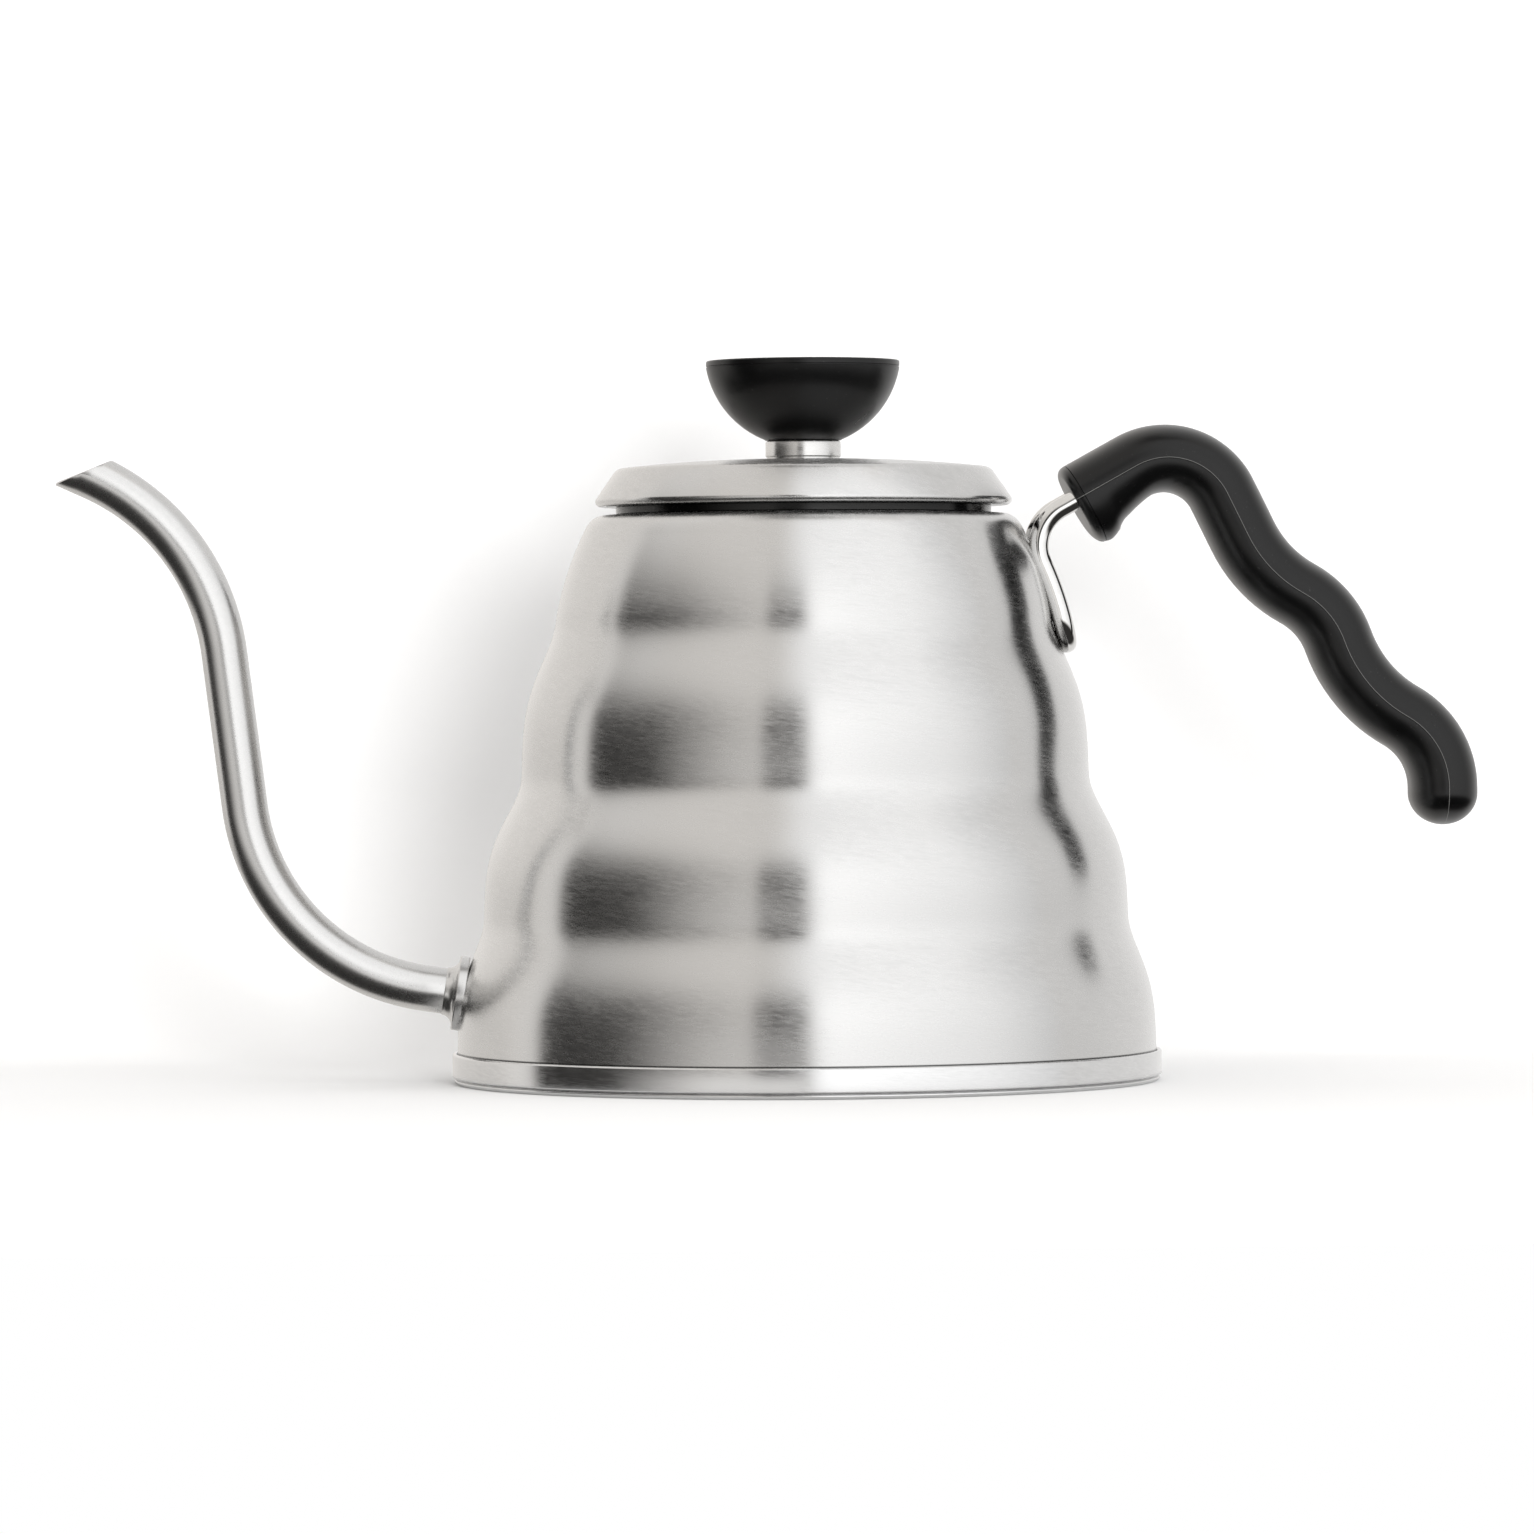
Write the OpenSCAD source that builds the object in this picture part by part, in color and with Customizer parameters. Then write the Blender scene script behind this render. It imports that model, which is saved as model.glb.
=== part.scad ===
// Gooseneck pour-over kettle: a tiered steel body on a rolled base pan, a bent pouring tube,
// a lift-off lid with a turned knob, and a moulded grip carried on a bent wire bracket.
// Millimetres. Z is up, the spout points along -X and the handle along +X.
// The origin is the centre of the base's underside.

/* [Base pan] */
// Outer radius of the rolled band
pan_r = 72; // [66:0.5:80]
// Height of the rolled band
pan_h = 6.2; // [5:0.1:9]
// Thickness of the pan's floor and band
pan_wall = 1; // [0.8:0.1:1.5]
// Height of the thin lip below the groove
pan_lip_h = 1.3; // [1:0.1:2]
// Depth of the groove and the lip's set-back
pan_lip_in = 0.4; // [0.2:0.1:0.6]
// Rounding under the band
pan_round = 0.6; // [0.3:0.1:0.8]

/* [Body] */
// Sheet thickness of the body
body_wall = 0.8; // [0.6:0.1:1.2]
// Height of the lowest groove above the base
groove1_z = 33; // [30:0.5:37]
// Outer radius at the lowest groove
groove1_r = 65.4; // [62:0.1:68]
// Height of the middle groove
groove2_z = 61; // [58:0.5:65]
// Outer radius at the middle groove
groove2_r = 57.7; // [55:0.1:60]
// Height of the top groove
groove3_z = 92; // [88:0.5:95]
// Outer radius at the top groove
groove3_r = 50.6; // [49:0.1:52.5]
// Height where the shoulder's rounding ends
shoulder_z = 112.6; // [110:0.1:115]
// How far the shoulder stands out past the neck
shoulder_out = 6.1; // [5:0.1:7.5]
// Rounding of the shoulder
shoulder_round = 4.4; // [3:0.1:5]
// Share of each tier's growth that is a plain slope
tier_slope = 0.12; // [0.05:0.01:0.3]
// Outer radius of the neck that the lid sits on
neck_r = 38.1; // [36:0.1:39]
// Height of the neck above the shoulder
neck_h = 1.7; // [1.2:0.1:4]

/* [Spout] */
// Outer radius of the pouring tube
spout_r = 4.65; // [4:0.05:5.5]
// Wall of the pouring tube
spout_wall = 0.6; // [0.5:0.1:1]
// Height of the tube's axis at the body wall
spout_z = 18.3; // [16.5:0.1:20]
// Rise of the tube where it leaves the body, in degrees
spout_rise = 8.7; // [5:0.1:12]
// Length of the tube from the body to its first bend
spout_root_l = 7.7; // [6:0.1:9]
// Turn of the lower bend, in degrees
spout_low_turn = 74.1; // [68:0.1:80]
// Radius of the lower bend
spout_low_r = 42.9; // [38:0.1:50]
// Length of the upright stretch
spout_mid_l = 31.6; // [24:0.1:36]
// Turn back of the upper bend, in degrees
spout_top_turn = 58.4; // [48:0.1:64]
// Radius of the upper bend
spout_top_r = 45.4; // [38:0.1:52]
// Length of the tip's straight, to the middle of its cut
spout_tip_l = 2; // [1:0.5:8]
// Lean of the tip's cut towards the top, in degrees
spout_cut = 42; // [30:1:48]
// Radius of the collar's flange
collar_r = 7.6; // [7:0.1:9]
// Thickness of the collar's flange at its rim
collar_rim = 1.3; // [1:0.1:2]
// Radius of the fillet from flange to tube
collar_fillet = 2.2; // [1.5:0.1:2.3]
// Wall of the collar's spigot through the body
collar_wall = 0.7; // [0.5:0.1:1]

/* [Lid] */
// How far the lid's rolled edge stands out past the neck
lid_over = 4.2; // [3.4:0.1:5.5]
// Radius of the bead rolled round the edge
bead_r = 1.1; // [0.8:0.1:1.4]
// Sheet thickness of the lid
lid_wall = 0.8; // [0.6:0.1:1]
// How far the lid's side leans in from the rolled edge to the top
lid_side_in = 4.4; // [3.5:0.1:5.5]
// Height of the crown's corner above the neck
lid_crown_h = 7.8; // [6:0.1:10]
// Rise of the lid's top from corner to middle
lid_dome_h = 1.6; // [1:0.1:3]
// Rounding of the crown's corner
lid_corner = 2.3; // [1:0.1:3]
// Depth that the lid's inner ring reaches into the neck
skirt_h = 11; // [8:0.5:15]
// Sheet thickness of the inner ring
skirt_wall = 0.7; // [0.6:0.1:1]

/* [Knob] */
// Radius of the metal collar under the knob
ferrule_r = 7.65; // [6.5:0.05:8.5]
// Height of the metal collar
ferrule_h = 3.9; // [3:0.1:6]
// Radius of the knob at its rim
knob_r = 19.65; // [17:0.05:22]
// Height of the knob
knob_h = 16.2; // [14:0.1:18]
// Radius of the knob's bowl section
knob_bowl_r = 19.4; // [16:0.1:26]
// Height of the band round the rim
knob_band_h = 1.4; // [1:0.1:2]
// Depth of the shallow dish in the knob's top
knob_dish = 1; // [0.5:0.1:2]
// Radius of the knob screw
knob_screw_r = 2; // [1.5:0.1:2.5]
// Length of the knob screw under its head
knob_screw_l = 13; // [11:0.5:15]
// Outer radius of the threaded insert in the knob
insert_r = 3.6; // [3.2:0.1:4.5]
// Length of the threaded insert
insert_l = 9; // [8.5:0.1:11]

/* [Wire bracket] */
// Radius of the bracket's wire
wire_r = 2; // [1.6:0.1:2.3]
// Distance of each leg from the kettle's middle plane
leg_y = 7.5; // [7:0.1:8]
// Height at which the legs bear on the body
leg_touch_z = 102; // [98:0.5:105]
// Height of the wire's lowest corner centre
leg_foot_z = 94.2; // [93:0.1:96]
// Lean of the legs from upright, in degrees
leg_lean = 16.5; // [14:0.5:18]
// Straight length of each leg above its foot corner
leg_l = 12.9; // [11:0.1:16]
// Radius of the bend from leg to grip
leg_bend_r = 8.5; // [7:0.1:10]
// Radius of the corners at the foot
foot_bend_r = 5.8; // [5:0.1:6.5]
// Length of bare wire between the bend and the grip
reach_l = 2.1; // [1.5:0.1:8]
// Depth of the wire in the grip
socket_l = 22; // [18:0.5:24]

/* [Grip] */
// Thickness of the grip, seen from the side
grip_t = 13.8; // [12.5:0.1:15.5]
// Width of the grip, seen from above
grip_w = 23; // [22:0.5:26]
// Squareness of the grip's section: 2 is a plain oval, more is fuller at the corners
grip_square = 2.4; // [2.1:0.1:3.2]
// Angle of the grip's front end above level, in degrees
grip_rise = 29; // [26:1:33]
// Drop of the grip's axis below the wire's axis
grip_drop = 0.1; // [0:0.1:1.2]
// Length of the grip's straight front
front_l = 14.5; // [13:0.1:20]
// Turn over the crest, in degrees
crest_turn = 93; // [88:1:98]
// Radius over the crest
crest_bend_r = 13.3; // [12:0.1:16]
// Length of the straight below the crest
drop_l = 9.4; // [5:0.1:12]
// Turn out at the first finger rest, in degrees
rest1_turn = 35; // [25:1:42]
// Radius at the first finger rest
rest1_bend_r = 26.9; // [18:0.1:32]
// Turn in at the first swell, in degrees
swell1_turn = 41.5; // [30:0.5:46]
// Radius at the first swell
swell1_bend_r = 18; // [15:0.1:26]
// Turn out at the second finger rest, in degrees
rest2_turn = 40.5; // [28:0.5:46]
// Radius at the second finger rest
rest2_bend_r = 28.8; // [20:0.1:34]
// Turn in at the tail, in degrees
tail_turn = 60; // [45:1:66]
// Radius at the tail
tail_bend_r = 16.8; // [14:0.1:24]
// Length of the tail's straight
tail_l = 2.6; // [1:0.1:8]
// Length of the tail's rounded end
tail_round = 5; // [3:0.1:6]

/* [Grip fixing] */
// Radius of the boss under the grip's front
chin_r = 3.6; // [3.4:0.1:4.2]
// How far the boss stands out below the grip
chin_drop = 3.9; // [3:0.1:4.5]
// Distance of the boss behind the grip's front face
chin_back = 4; // [3.8:0.1:5]
// Width of the boss, across the grip
chin_w = 16; // [12:0.5:18]
// Thickness of the strip welded between the legs
bridge_t = 3; // [2.5:0.1:3.4]
// Length of the strip welded between the legs
bridge_l = 14; // [12:0.5:16]
// Radius of the grip screw
grip_screw_r = 1.5; // [1.2:0.05:1.6]
// Radius of the grip screw's head
grip_head_r = 2.6; // [2.3:0.1:2.7]
// Height of the grip screw's head
grip_head_h = 1.8; // [1.5:0.1:2.2]
// Depth of the grip screw's head below the boss
grip_head_in = 0.8; // [0.4:0.1:1.2]

/* [Fits] */
// Gap between pieces that are pressed, rolled or welded together
seat_gap = 0.05; // [0.02:0.01:0.1]
// Gap between the lid's inner ring and the neck
lid_gap = 0.4; // [0.3:0.05:0.6]
// Gap round a screw in a clear hole
screw_gap = 0.3; // [0.2:0.05:0.5]

/* [Hidden] */

$fn = 96;
tier_steps = 11;       // straight facets along each tier
arc_steps = 6;         // facets along a small rounding
dome_steps = 6;        // facets across the lid's dome
knob_steps = 14;       // facets along the knob's bowl
grip_sides = 28;       // points round the grip's section
bend_steps = 7;        // rings along each bend of the grip
tail_steps = 6;        // rings along the tail's rounded end
far = 300;             // longer than the kettle, for cutters
cut_over = 1;          // how far a cutter starts outside the face that it cuts
crown_bow = 0.4;       // bow of the top tier between shoulder and groove
crown_lean = 26;       // lean of the wall where the shoulder's rounding ends
washer_t = 0.7;        // thickness of both washers
edge_cut = 0.5;        // small chamfers on turned edges
bend_thin = 0.05;      // how much a rod's radius shrinks where it is bent
bend_join = 0.3;       // how far a rod's straights reach into its bends

neck_top = shoulder_z + shoulder_round * (1 - sin(crown_lean)) + neck_h;
ledge_z = neck_top - neck_h;
foot_r = pan_r - pan_wall - seat_gap;
shoulder_r = neck_r + shoulder_out;

// ---------- curves ----------

// Points of an arc round (cx, cz) from angle a0 to a1
function arc(cx, cz, r, a0, a1, n = arc_steps) =
    [for (i = [0:n]) let (a = a0 + (a1 - a0) * i / n) [cx + r * cos(a), cz + r * sin(a)]];

// The same points in the opposite order
function turned_back(list) = [for (i = [len(list) - 1:-1:0]) list[i]];

// Growth of a tier from the groove above (u = 0) to the groove below (u = 1)
function tier_growth(u) =
    (1 - tier_slope) * (1 - pow(1 - u, 4) * (1 + 4 * u)) + tier_slope * u;

// The same for the top tier, which only bows a little
function crown_growth(u) = u * (1 + crown_bow * (1 - u));

tier_z = [pan_h, groove1_z, groove2_z, groove3_z, shoulder_z];
tier_r = [foot_r, groove1_r, groove2_r, groove3_r, shoulder_r];

// Outer radius of the body at a height between the band and the shoulder
function tier_of(z, i = 0) = i >= 3 || z < tier_z[i + 1] ? i : tier_of(z, i + 1);
function body_r(z) =
    let (i = tier_of(z), u = (tier_z[i + 1] - z) / (tier_z[i + 1] - tier_z[i]))
    tier_r[i + 1] + (tier_r[i] - tier_r[i + 1]) * (i == 3 ? crown_growth(u) : tier_growth(u));

tier_heights = [for (i = [0:3], k = [0:tier_steps - 1])
    tier_z[i] + (tier_z[i + 1] - tier_z[i]) * k / tier_steps];

shoulder_cr = shoulder_r - shoulder_round * cos(crown_lean);
shoulder_cz = ledge_z - shoulder_round;

// Outline of the body's outer face, from the foot up to the neck's top
function body_face(inset) = concat(
    [[foot_r - inset, pan_wall + seat_gap]],
    [for (z = tier_heights) [body_r(z) - inset, z]],
    arc(shoulder_cr, shoulder_cz, shoulder_round - inset, crown_lean, 90),
    [[neck_r - inset, ledge_z - inset], [neck_r - inset, neck_top]]);

// ---------- routes ----------

// One step of a flat route: a state is [x, z, heading], a bend is [length, turn, radius]
function after_straight(s, l) = [s[0] + l * cos(s[2]), s[1] + l * sin(s[2]), s[2]];
function after_turn(s, turn, r) =
    let (side = sign(turn), h = s[2] + turn)
    [s[0] + side * r * (sin(h) - sin(s[2])), s[1] - side * r * (cos(h) - cos(s[2])), h];
function after_bend(s, b) = after_turn(after_straight(s, b[0]), b[1], b[2]);
function after_route(s, bends, i = 0) =
    i == len(bends) ? s : after_route(after_bend(s, bends[i]), bends, i + 1);

// Every state that a sweep needs along one bend, its end excluded
function bend_states(s, b) = let (t = after_straight(s, b[0])) concat(
    b[0] > 0 ? [s] : [],
    b[1] == 0 ? [] : [for (k = [0:bend_steps - 1]) after_turn(t, b[1] * k / bend_steps, b[2])]);
function route_states(s, bends, i = 0) =
    i == len(bends) ? [s]
    : concat(bend_states(s, bends[i]), route_states(after_bend(s, bends[i]), bends, i + 1));

// A bend of a round rod that starts along the local Z axis and turns in the local XZ plane
module elbow(turn, bend_r, r) {
    rotate([0, 0, turn > 0 ? 180 : 0])
        translate([-bend_r, 0, 0])
            rotate([90, 0, 0])
                rotate_extrude(angle = abs(turn))
                    translate([bend_r, 0]) circle(r);
}

module after_elbow(turn, bend_r) {
    translate([sign(turn) * bend_r * (1 - cos(turn)), 0, bend_r * sin(abs(turn))])
        rotate([0, turn, 0])
            children();
}

// Places what follows at the start of one bend of a route
module at_bend(bends, count, i = 0) {
    if (i < count) {
        translate([0, 0, bends[i][0]])
            after_elbow(bends[i][1], bends[i][2])
                at_bend(bends, count, i + 1) children();
    } else {
        children();
    }
}

// A round rod along a route: every step of it is a straight and the bend that follows
module bent_rod(bends, r, lead = 0) {
    for (i = [0:len(bends) - 1])
        at_bend(bends, i) {
            before = i > 0 ? bend_join : lead;
            after = bends[i][1] != 0 ? bend_join : 0;
            translate([0, 0, -before]) cylinder(r = r, h = before + bends[i][0] + after);
            if (bends[i][1] != 0)
                translate([0, 0, bends[i][0]]) elbow(bends[i][1], bends[i][2], r - bend_thin);
        }
}

// ---------- body and base ----------

module body_shell() {
    color("#b9b6b0")
        difference() {
            rotate_extrude()
                polygon(concat(body_face(0), turned_back(body_face(body_wall))));
            at_spout() translate([0, 0, -spigot_in])
                cylinder(r = spigot_r + seat_gap, h = far / 2);
        }
}

module base_pan() {
    face_in = pan_r - pan_wall;
    lip_r = pan_r - pan_lip_in;
    color("#c9c9c9")
        rotate_extrude()
            polygon(concat(
                [[0, 0]],
                arc(lip_r - pan_round, pan_round, pan_round, -90, 0),
                [[lip_r, pan_lip_h - pan_lip_in],
                 [lip_r - pan_lip_in, pan_lip_h - pan_lip_in / 2],
                 [lip_r, pan_lip_h]],
                [[pan_r, pan_lip_h]],
                arc(pan_r - pan_wall / 2, pan_h - pan_wall / 2, pan_wall / 2, 0, 90),
                [[face_in, pan_h], [face_in, pan_wall], [0, pan_wall]]));
}

// ---------- spout ----------

spout_root_x = body_r(spout_z);
spigot_r = spout_r + collar_wall;
spigot_past = 2.4;                // how far the tube and the collar stand out inside the wall
spigot_in = body_wall + spigot_past;
tip_spare = 12;                   // tube past the middle of the tip, cut away
spout_bends = [
    [spout_root_l + spigot_in, spout_low_turn, spout_low_r],
    [spout_mid_l, -spout_top_turn, spout_top_r],
    [spout_tip_l, 0, 0]];

// The tube's axis at the body wall, with local Z pointing out along the tube
module at_spout() {
    translate([-spout_root_x, 0, spout_z])
        rotate([0, spout_rise - 90, 0])
            children();
}

module spout_tube() {
    long_bends = [spout_bends[0], spout_bends[1], [spout_tip_l + tip_spare, 0, 0]];
    color("#b3b0aa")
        difference() {
            at_spout() translate([0, 0, -spigot_in])
                bent_rod(long_bends, spout_r);
            at_spout() translate([0, 0, -spigot_in])
                bent_rod(long_bends, spout_r - spout_wall);
            at_spout() translate([0, 0, -spigot_in])
                at_bend(spout_bends, len(spout_bends))
                    rotate([0, spout_cut, 0])
                        translate([-far / 2, -far / 2, 0]) cube(far);
        }
}

module spout_collar() {
    bore_r = spout_r + seat_gap;
    color("#a9a6a1")
        difference() {
            at_spout() rotate_extrude()
                polygon(concat(
                    [[bore_r, -spigot_in], [spigot_r, -spigot_in], [spigot_r, -body_wall],
                     [collar_r, -body_wall], [collar_r, collar_rim]],
                    arc(bore_r + collar_fillet + seat_gap, collar_rim + collar_fillet,
                        collar_fillet, 270, 180),
                    [[bore_r, collar_rim + collar_fillet]]));
            // the flange is seated on the body's outer face, the spigot goes through it
            difference() {
                rotate_extrude()
                    polygon(concat([[0, 0]], body_face(-seat_gap), [[0, neck_top]]));
                at_spout() translate([0, 0, -pan_r]) cylinder(r = spigot_r, h = far / 2);
            }
        }
}

// ---------- lid ----------

lid_z = neck_top;                          // underside of the lid's bead and flange
lid_r = neck_r + lid_over;
lid_crown_r = lid_r - lid_side_in;
crown_z = lid_z + lid_crown_h;
lid_top_z = crown_z + lid_dome_h;          // flat seat of the knob's collar
bead_z = lid_z + bead_r;
bead_cr = lid_r - bead_r;
seat_rim = 0.6;                            // flat left round the knob's collar
seat_flat_r = ferrule_r + seat_rim;
bead_sides = 24;                           // facets round the bead

side_lean = atan((lid_r - lid_crown_r) / (crown_z - bead_z));
corner_cr = lid_crown_r - lid_corner * (1 - sin(side_lean)) / cos(side_lean);
corner_z = crown_z - lid_corner;

// Dome from the crown's corner to the flat seat: a parabola that ends level
function dome_z(r) = let (u = (r - seat_flat_r) / (corner_cr - seat_flat_r))
    lid_top_z - lid_dome_h * u * u;

// Outline of the lid's outer face from its side to its flat seat
function lid_face(inset) = concat(
    arc(corner_cr, corner_z, lid_corner - inset, side_lean, 90),
    [for (k = [1:dome_steps])
        let (r = corner_cr + (seat_flat_r - corner_cr) * k / dome_steps)
        [r, dome_z(r) - inset]]);

module lid_shell() {
    color("#b9b6b0")
        difference() {
            rotate_extrude() {
                translate([bead_cr, bead_z]) circle(bead_r, $fn = bead_sides);
                polygon(concat(
                    [[bead_cr - bead_r / 2, bead_z + bead_r / 2], [lid_r, bead_z]],
                    lid_face(0),
                    [[0, lid_top_z], [0, lid_top_z - lid_wall]],
                    turned_back(lid_face(lid_wall))));
            }
            translate([0, 0, crown_z]) cylinder(r = knob_screw_r + screw_gap, h = far);
        }
}

skirt_r = neck_r - body_wall - lid_gap;    // outer radius of the lid's inner ring
module lid_skirt() {
    flange_r = bead_cr - bead_r - seat_gap;
    color("#a9a6a1")
        rotate_extrude()
            polygon([
                [skirt_r - skirt_wall, lid_z - skirt_h], [skirt_r, lid_z - skirt_h],
                [skirt_r, lid_z], [flange_r, lid_z], [flange_r, lid_z + skirt_wall],
                [skirt_r - skirt_wall, lid_z + skirt_wall]]);
}

// ---------- knob ----------

knob_z = lid_top_z + ferrule_h;
knob_top_z = knob_z + knob_h;
knob_low_z = 0.2;                          // rise of the bowl's foot above the collar
knob_low_out = 0.3;                        // set-out of the bowl's foot from the collar
knob_rim = 1.6;                            // width of the rim round the dish
insert_base = 0.4;                         // insert's face above the knob's underside
lid_under_z = lid_top_z - lid_wall;
knob_screw_z = lid_under_z - washer_t;     // seat of the knob screw's head
screw_room = 0.5;                          // hole past a screw's tip
head_ratio = 1.8;                          // screw head's radius over its shank's
head_tall = 1.2;                           // screw head's height over its shank's radius
washer_ratio = 2.4;                        // washer's radius over its screw's

module knob_ferrule() {
    step_in = edge_cut / 2;
    color("#c6c4c0")
        rotate_extrude()
            polygon([
                [knob_screw_r + screw_gap, lid_top_z], [ferrule_r - step_in, lid_top_z],
                [ferrule_r - step_in, lid_top_z + edge_cut],
                [ferrule_r, lid_top_z + edge_cut + step_in],
                [ferrule_r, knob_z - edge_cut], [ferrule_r - edge_cut, knob_z],
                [knob_screw_r + screw_gap, knob_z]]);
}

module lid_knob() {
    // the bowl's arc runs from its foot at the collar up to the band
    foot = [ferrule_r + knob_low_out, knob_z + knob_low_z];
    rim = [knob_r, knob_top_z - knob_band_h];
    chord = rim - foot;
    sag = sqrt(knob_bowl_r * knob_bowl_r - chord * chord / 4) / norm(chord);
    bowl_c = (foot + rim) / 2 + sag * [-chord[1], chord[0]];
    low_a = atan2(foot[1] - bowl_c[1], foot[0] - bowl_c[0]);
    top_a = atan2(rim[1] - bowl_c[1], rim[0] - bowl_c[0]);
    dish_r = knob_r - knob_rim;
    tip_z = knob_screw_z + knob_screw_l + screw_room;
    hole_z = max(knob_z + insert_base + insert_l + seat_gap, tip_z);
    color("#1d1d1f")
        difference() {
            rotate_extrude()
                polygon(concat(
                    [[0, knob_z], [ferrule_r, knob_z]],
                    arc(bowl_c[0], bowl_c[1], knob_bowl_r, low_a, top_a, knob_steps),
                    [[knob_r, knob_top_z - edge_cut],
                     [knob_r - edge_cut, knob_top_z], [dish_r, knob_top_z]],
                    [for (k = [1:dome_steps]) let (u = 1 - k / dome_steps)
                        [dish_r * u, knob_top_z - knob_dish * (1 - u * u)]]));
            translate([0, 0, knob_z - cut_over])
                cylinder(r = insert_r + seat_gap, h = hole_z - knob_z + cut_over);
        }
}

module knob_insert() {
    color("#b08d45")
        difference() {
            translate([0, 0, knob_z + insert_base]) cylinder(r = insert_r, h = insert_l);
            translate([0, 0, knob_z - far / 2]) cylinder(r = knob_screw_r + seat_gap, h = far);
        }
}

module knob_washer() {
    color("#c6c4c0")
        translate([0, 0, knob_screw_z])
            difference() {
                cylinder(r = knob_screw_r * washer_ratio, h = washer_t);
                translate([0, 0, -washer_t]) cylinder(r = knob_screw_r + screw_gap, h = washer_t * 3);
            }
}

// A pan-head screw with its head's seat at the origin and its shank along +Z
module pan_screw(shank_r, shank_l, head_r, head_h) {
    slot_w = shank_r / 2;
    slot_l = head_r + edge_cut;
    difference() {
        rotate_extrude()
            polygon([
                [0, -head_h], [head_r - edge_cut, -head_h], [head_r, edge_cut - head_h],
                [head_r, 0], [shank_r, 0], [shank_r, shank_l], [0, shank_l]]);
        for (a = [0, 90])
            rotate([0, 0, a])
                translate([-slot_l / 2, -slot_w / 2, -head_h - cut_over])
                    cube([slot_l, slot_w, head_h / 2 + cut_over]);
    }
}

module knob_screw() {
    color("#c6c4c0")
        translate([0, 0, knob_screw_z])
            pan_screw(knob_screw_r, knob_screw_l, knob_screw_r * head_ratio,
                      knob_screw_r * head_tall);
}

// ---------- wire bracket ----------

touch_r = body_r(leg_touch_z) + wire_r / cos(leg_lean) + seat_gap;
touch_x = sqrt(touch_r * touch_r - leg_y * leg_y);
leg_turn = 90 + leg_lean - grip_rise;
leg_start = [touch_x + (leg_touch_z - leg_foot_z) * tan(leg_lean), leg_foot_z, 90 + leg_lean];
leg_bend = after_bend(leg_start, [leg_l, -leg_turn, leg_bend_r]);
face_pos = after_straight(leg_bend, reach_l);      // where the wire enters the grip
foot_bar_l = leg_y - foot_bend_r;

// Local frame of a leg: Z along the wire, X away from the body
module at_leg(side) {
    translate([leg_start[0], side * leg_y, leg_start[1]])
        rotate([0, -leg_lean, 0])
            children();
}

module handle_wire() {
    color("#cfcfcf") {
        // bar between the two foot corners
        at_leg(0)
            translate([0, 0, -foot_bend_r])
                rotate([90, 0, 0])
                    cylinder(r = wire_r, h = 2 * (foot_bar_l + bend_join), center = true);
        for (side = [-1, 1]) {
            at_leg(side)
                bent_rod([[leg_l, leg_turn, leg_bend_r], [reach_l + socket_l, 0, 0]], wire_r,
                         bend_join);
            // foot corner, from the leg down to the bar
            at_leg(side)
                rotate([0, 0, -side * 90])
                    rotate([180, 0, 0])
                        elbow(90, foot_bend_r, wire_r - bend_thin);
        }
    }
}

// ---------- grip ----------

grip_start = [face_pos[0] + grip_drop * sin(grip_rise), face_pos[1] - grip_drop * cos(grip_rise),
              grip_rise];
grip_bends = [
    [front_l, -crest_turn, crest_bend_r],
    [drop_l, rest1_turn, rest1_bend_r],
    [0, -swell1_turn, swell1_bend_r],
    [0, rest2_turn, rest2_bend_r],
    [0, -tail_turn, tail_bend_r],
    [tail_l, 0, 0]];

// Frame at the middle of the grip's front face: X back along the grip, Z up
module at_grip() {
    translate([grip_start[0], 0, grip_start[1]])
        rotate([0, -grip_rise, 0])
            children();
}

front_edge = 0.7;                         // rounding of the grip's front edge
tail_end = 84;                            // degrees of the tail's rounding before its flat

// One side of the grip's section: the power keeps the corners full
function bulged(c) = sign(c) * pow(abs(c), 2 / grip_square);

// Points of the grip's section, shrunk by a distance from its edge
function grip_section(inset) =
    [for (i = [0:grip_sides - 1]) let (a = 360 * i / grip_sides)
        [(grip_w / 2 - inset) * bulged(cos(a)), (grip_t / 2 - inset) * bulged(sin(a))]];

function placed(section, s) = [for (p = section)
    [s[0] - p[1] * sin(s[2]), p[0], s[1] + p[1] * cos(s[2])]];

// The section shrinks to a rounded tail: its size follows a quarter ellipse
function shrunk(section, k) = [for (p = section) p * k];

module grip_core() {
    mids = route_states(after_straight(grip_start, front_edge),
        concat([[front_l - front_edge, grip_bends[0][1], grip_bends[0][2]]],
               [for (i = [1:len(grip_bends) - 1]) grip_bends[i]]));
    tail = mids[len(mids) - 1];
    whole = grip_section(0);
    rings = concat(
        [placed(grip_section(front_edge), grip_start)],
        [for (s = mids) placed(whole, s)],
        [for (k = [1:tail_steps]) let (a = tail_end * k / tail_steps)
            placed(shrunk(whole, cos(a)), after_straight(tail, tail_round * sin(a)))]);
    n = grip_sides;
    count = len(rings);
    polyhedron(
        points = [for (r = rings, p = r) p],
        faces = concat(
            [[for (i = [0:n - 1]) i]],
            [for (k = [0:count - 2], i = [0:n - 1]) let (j = (i + 1) % n)
                each [[k * n + i, (k + 1) * n + i, k * n + j],
                      [k * n + j, (k + 1) * n + i, (k + 1) * n + j]]],
            [[for (i = [n - 1:-1:0]) (count - 1) * n + i]]));
}

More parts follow.
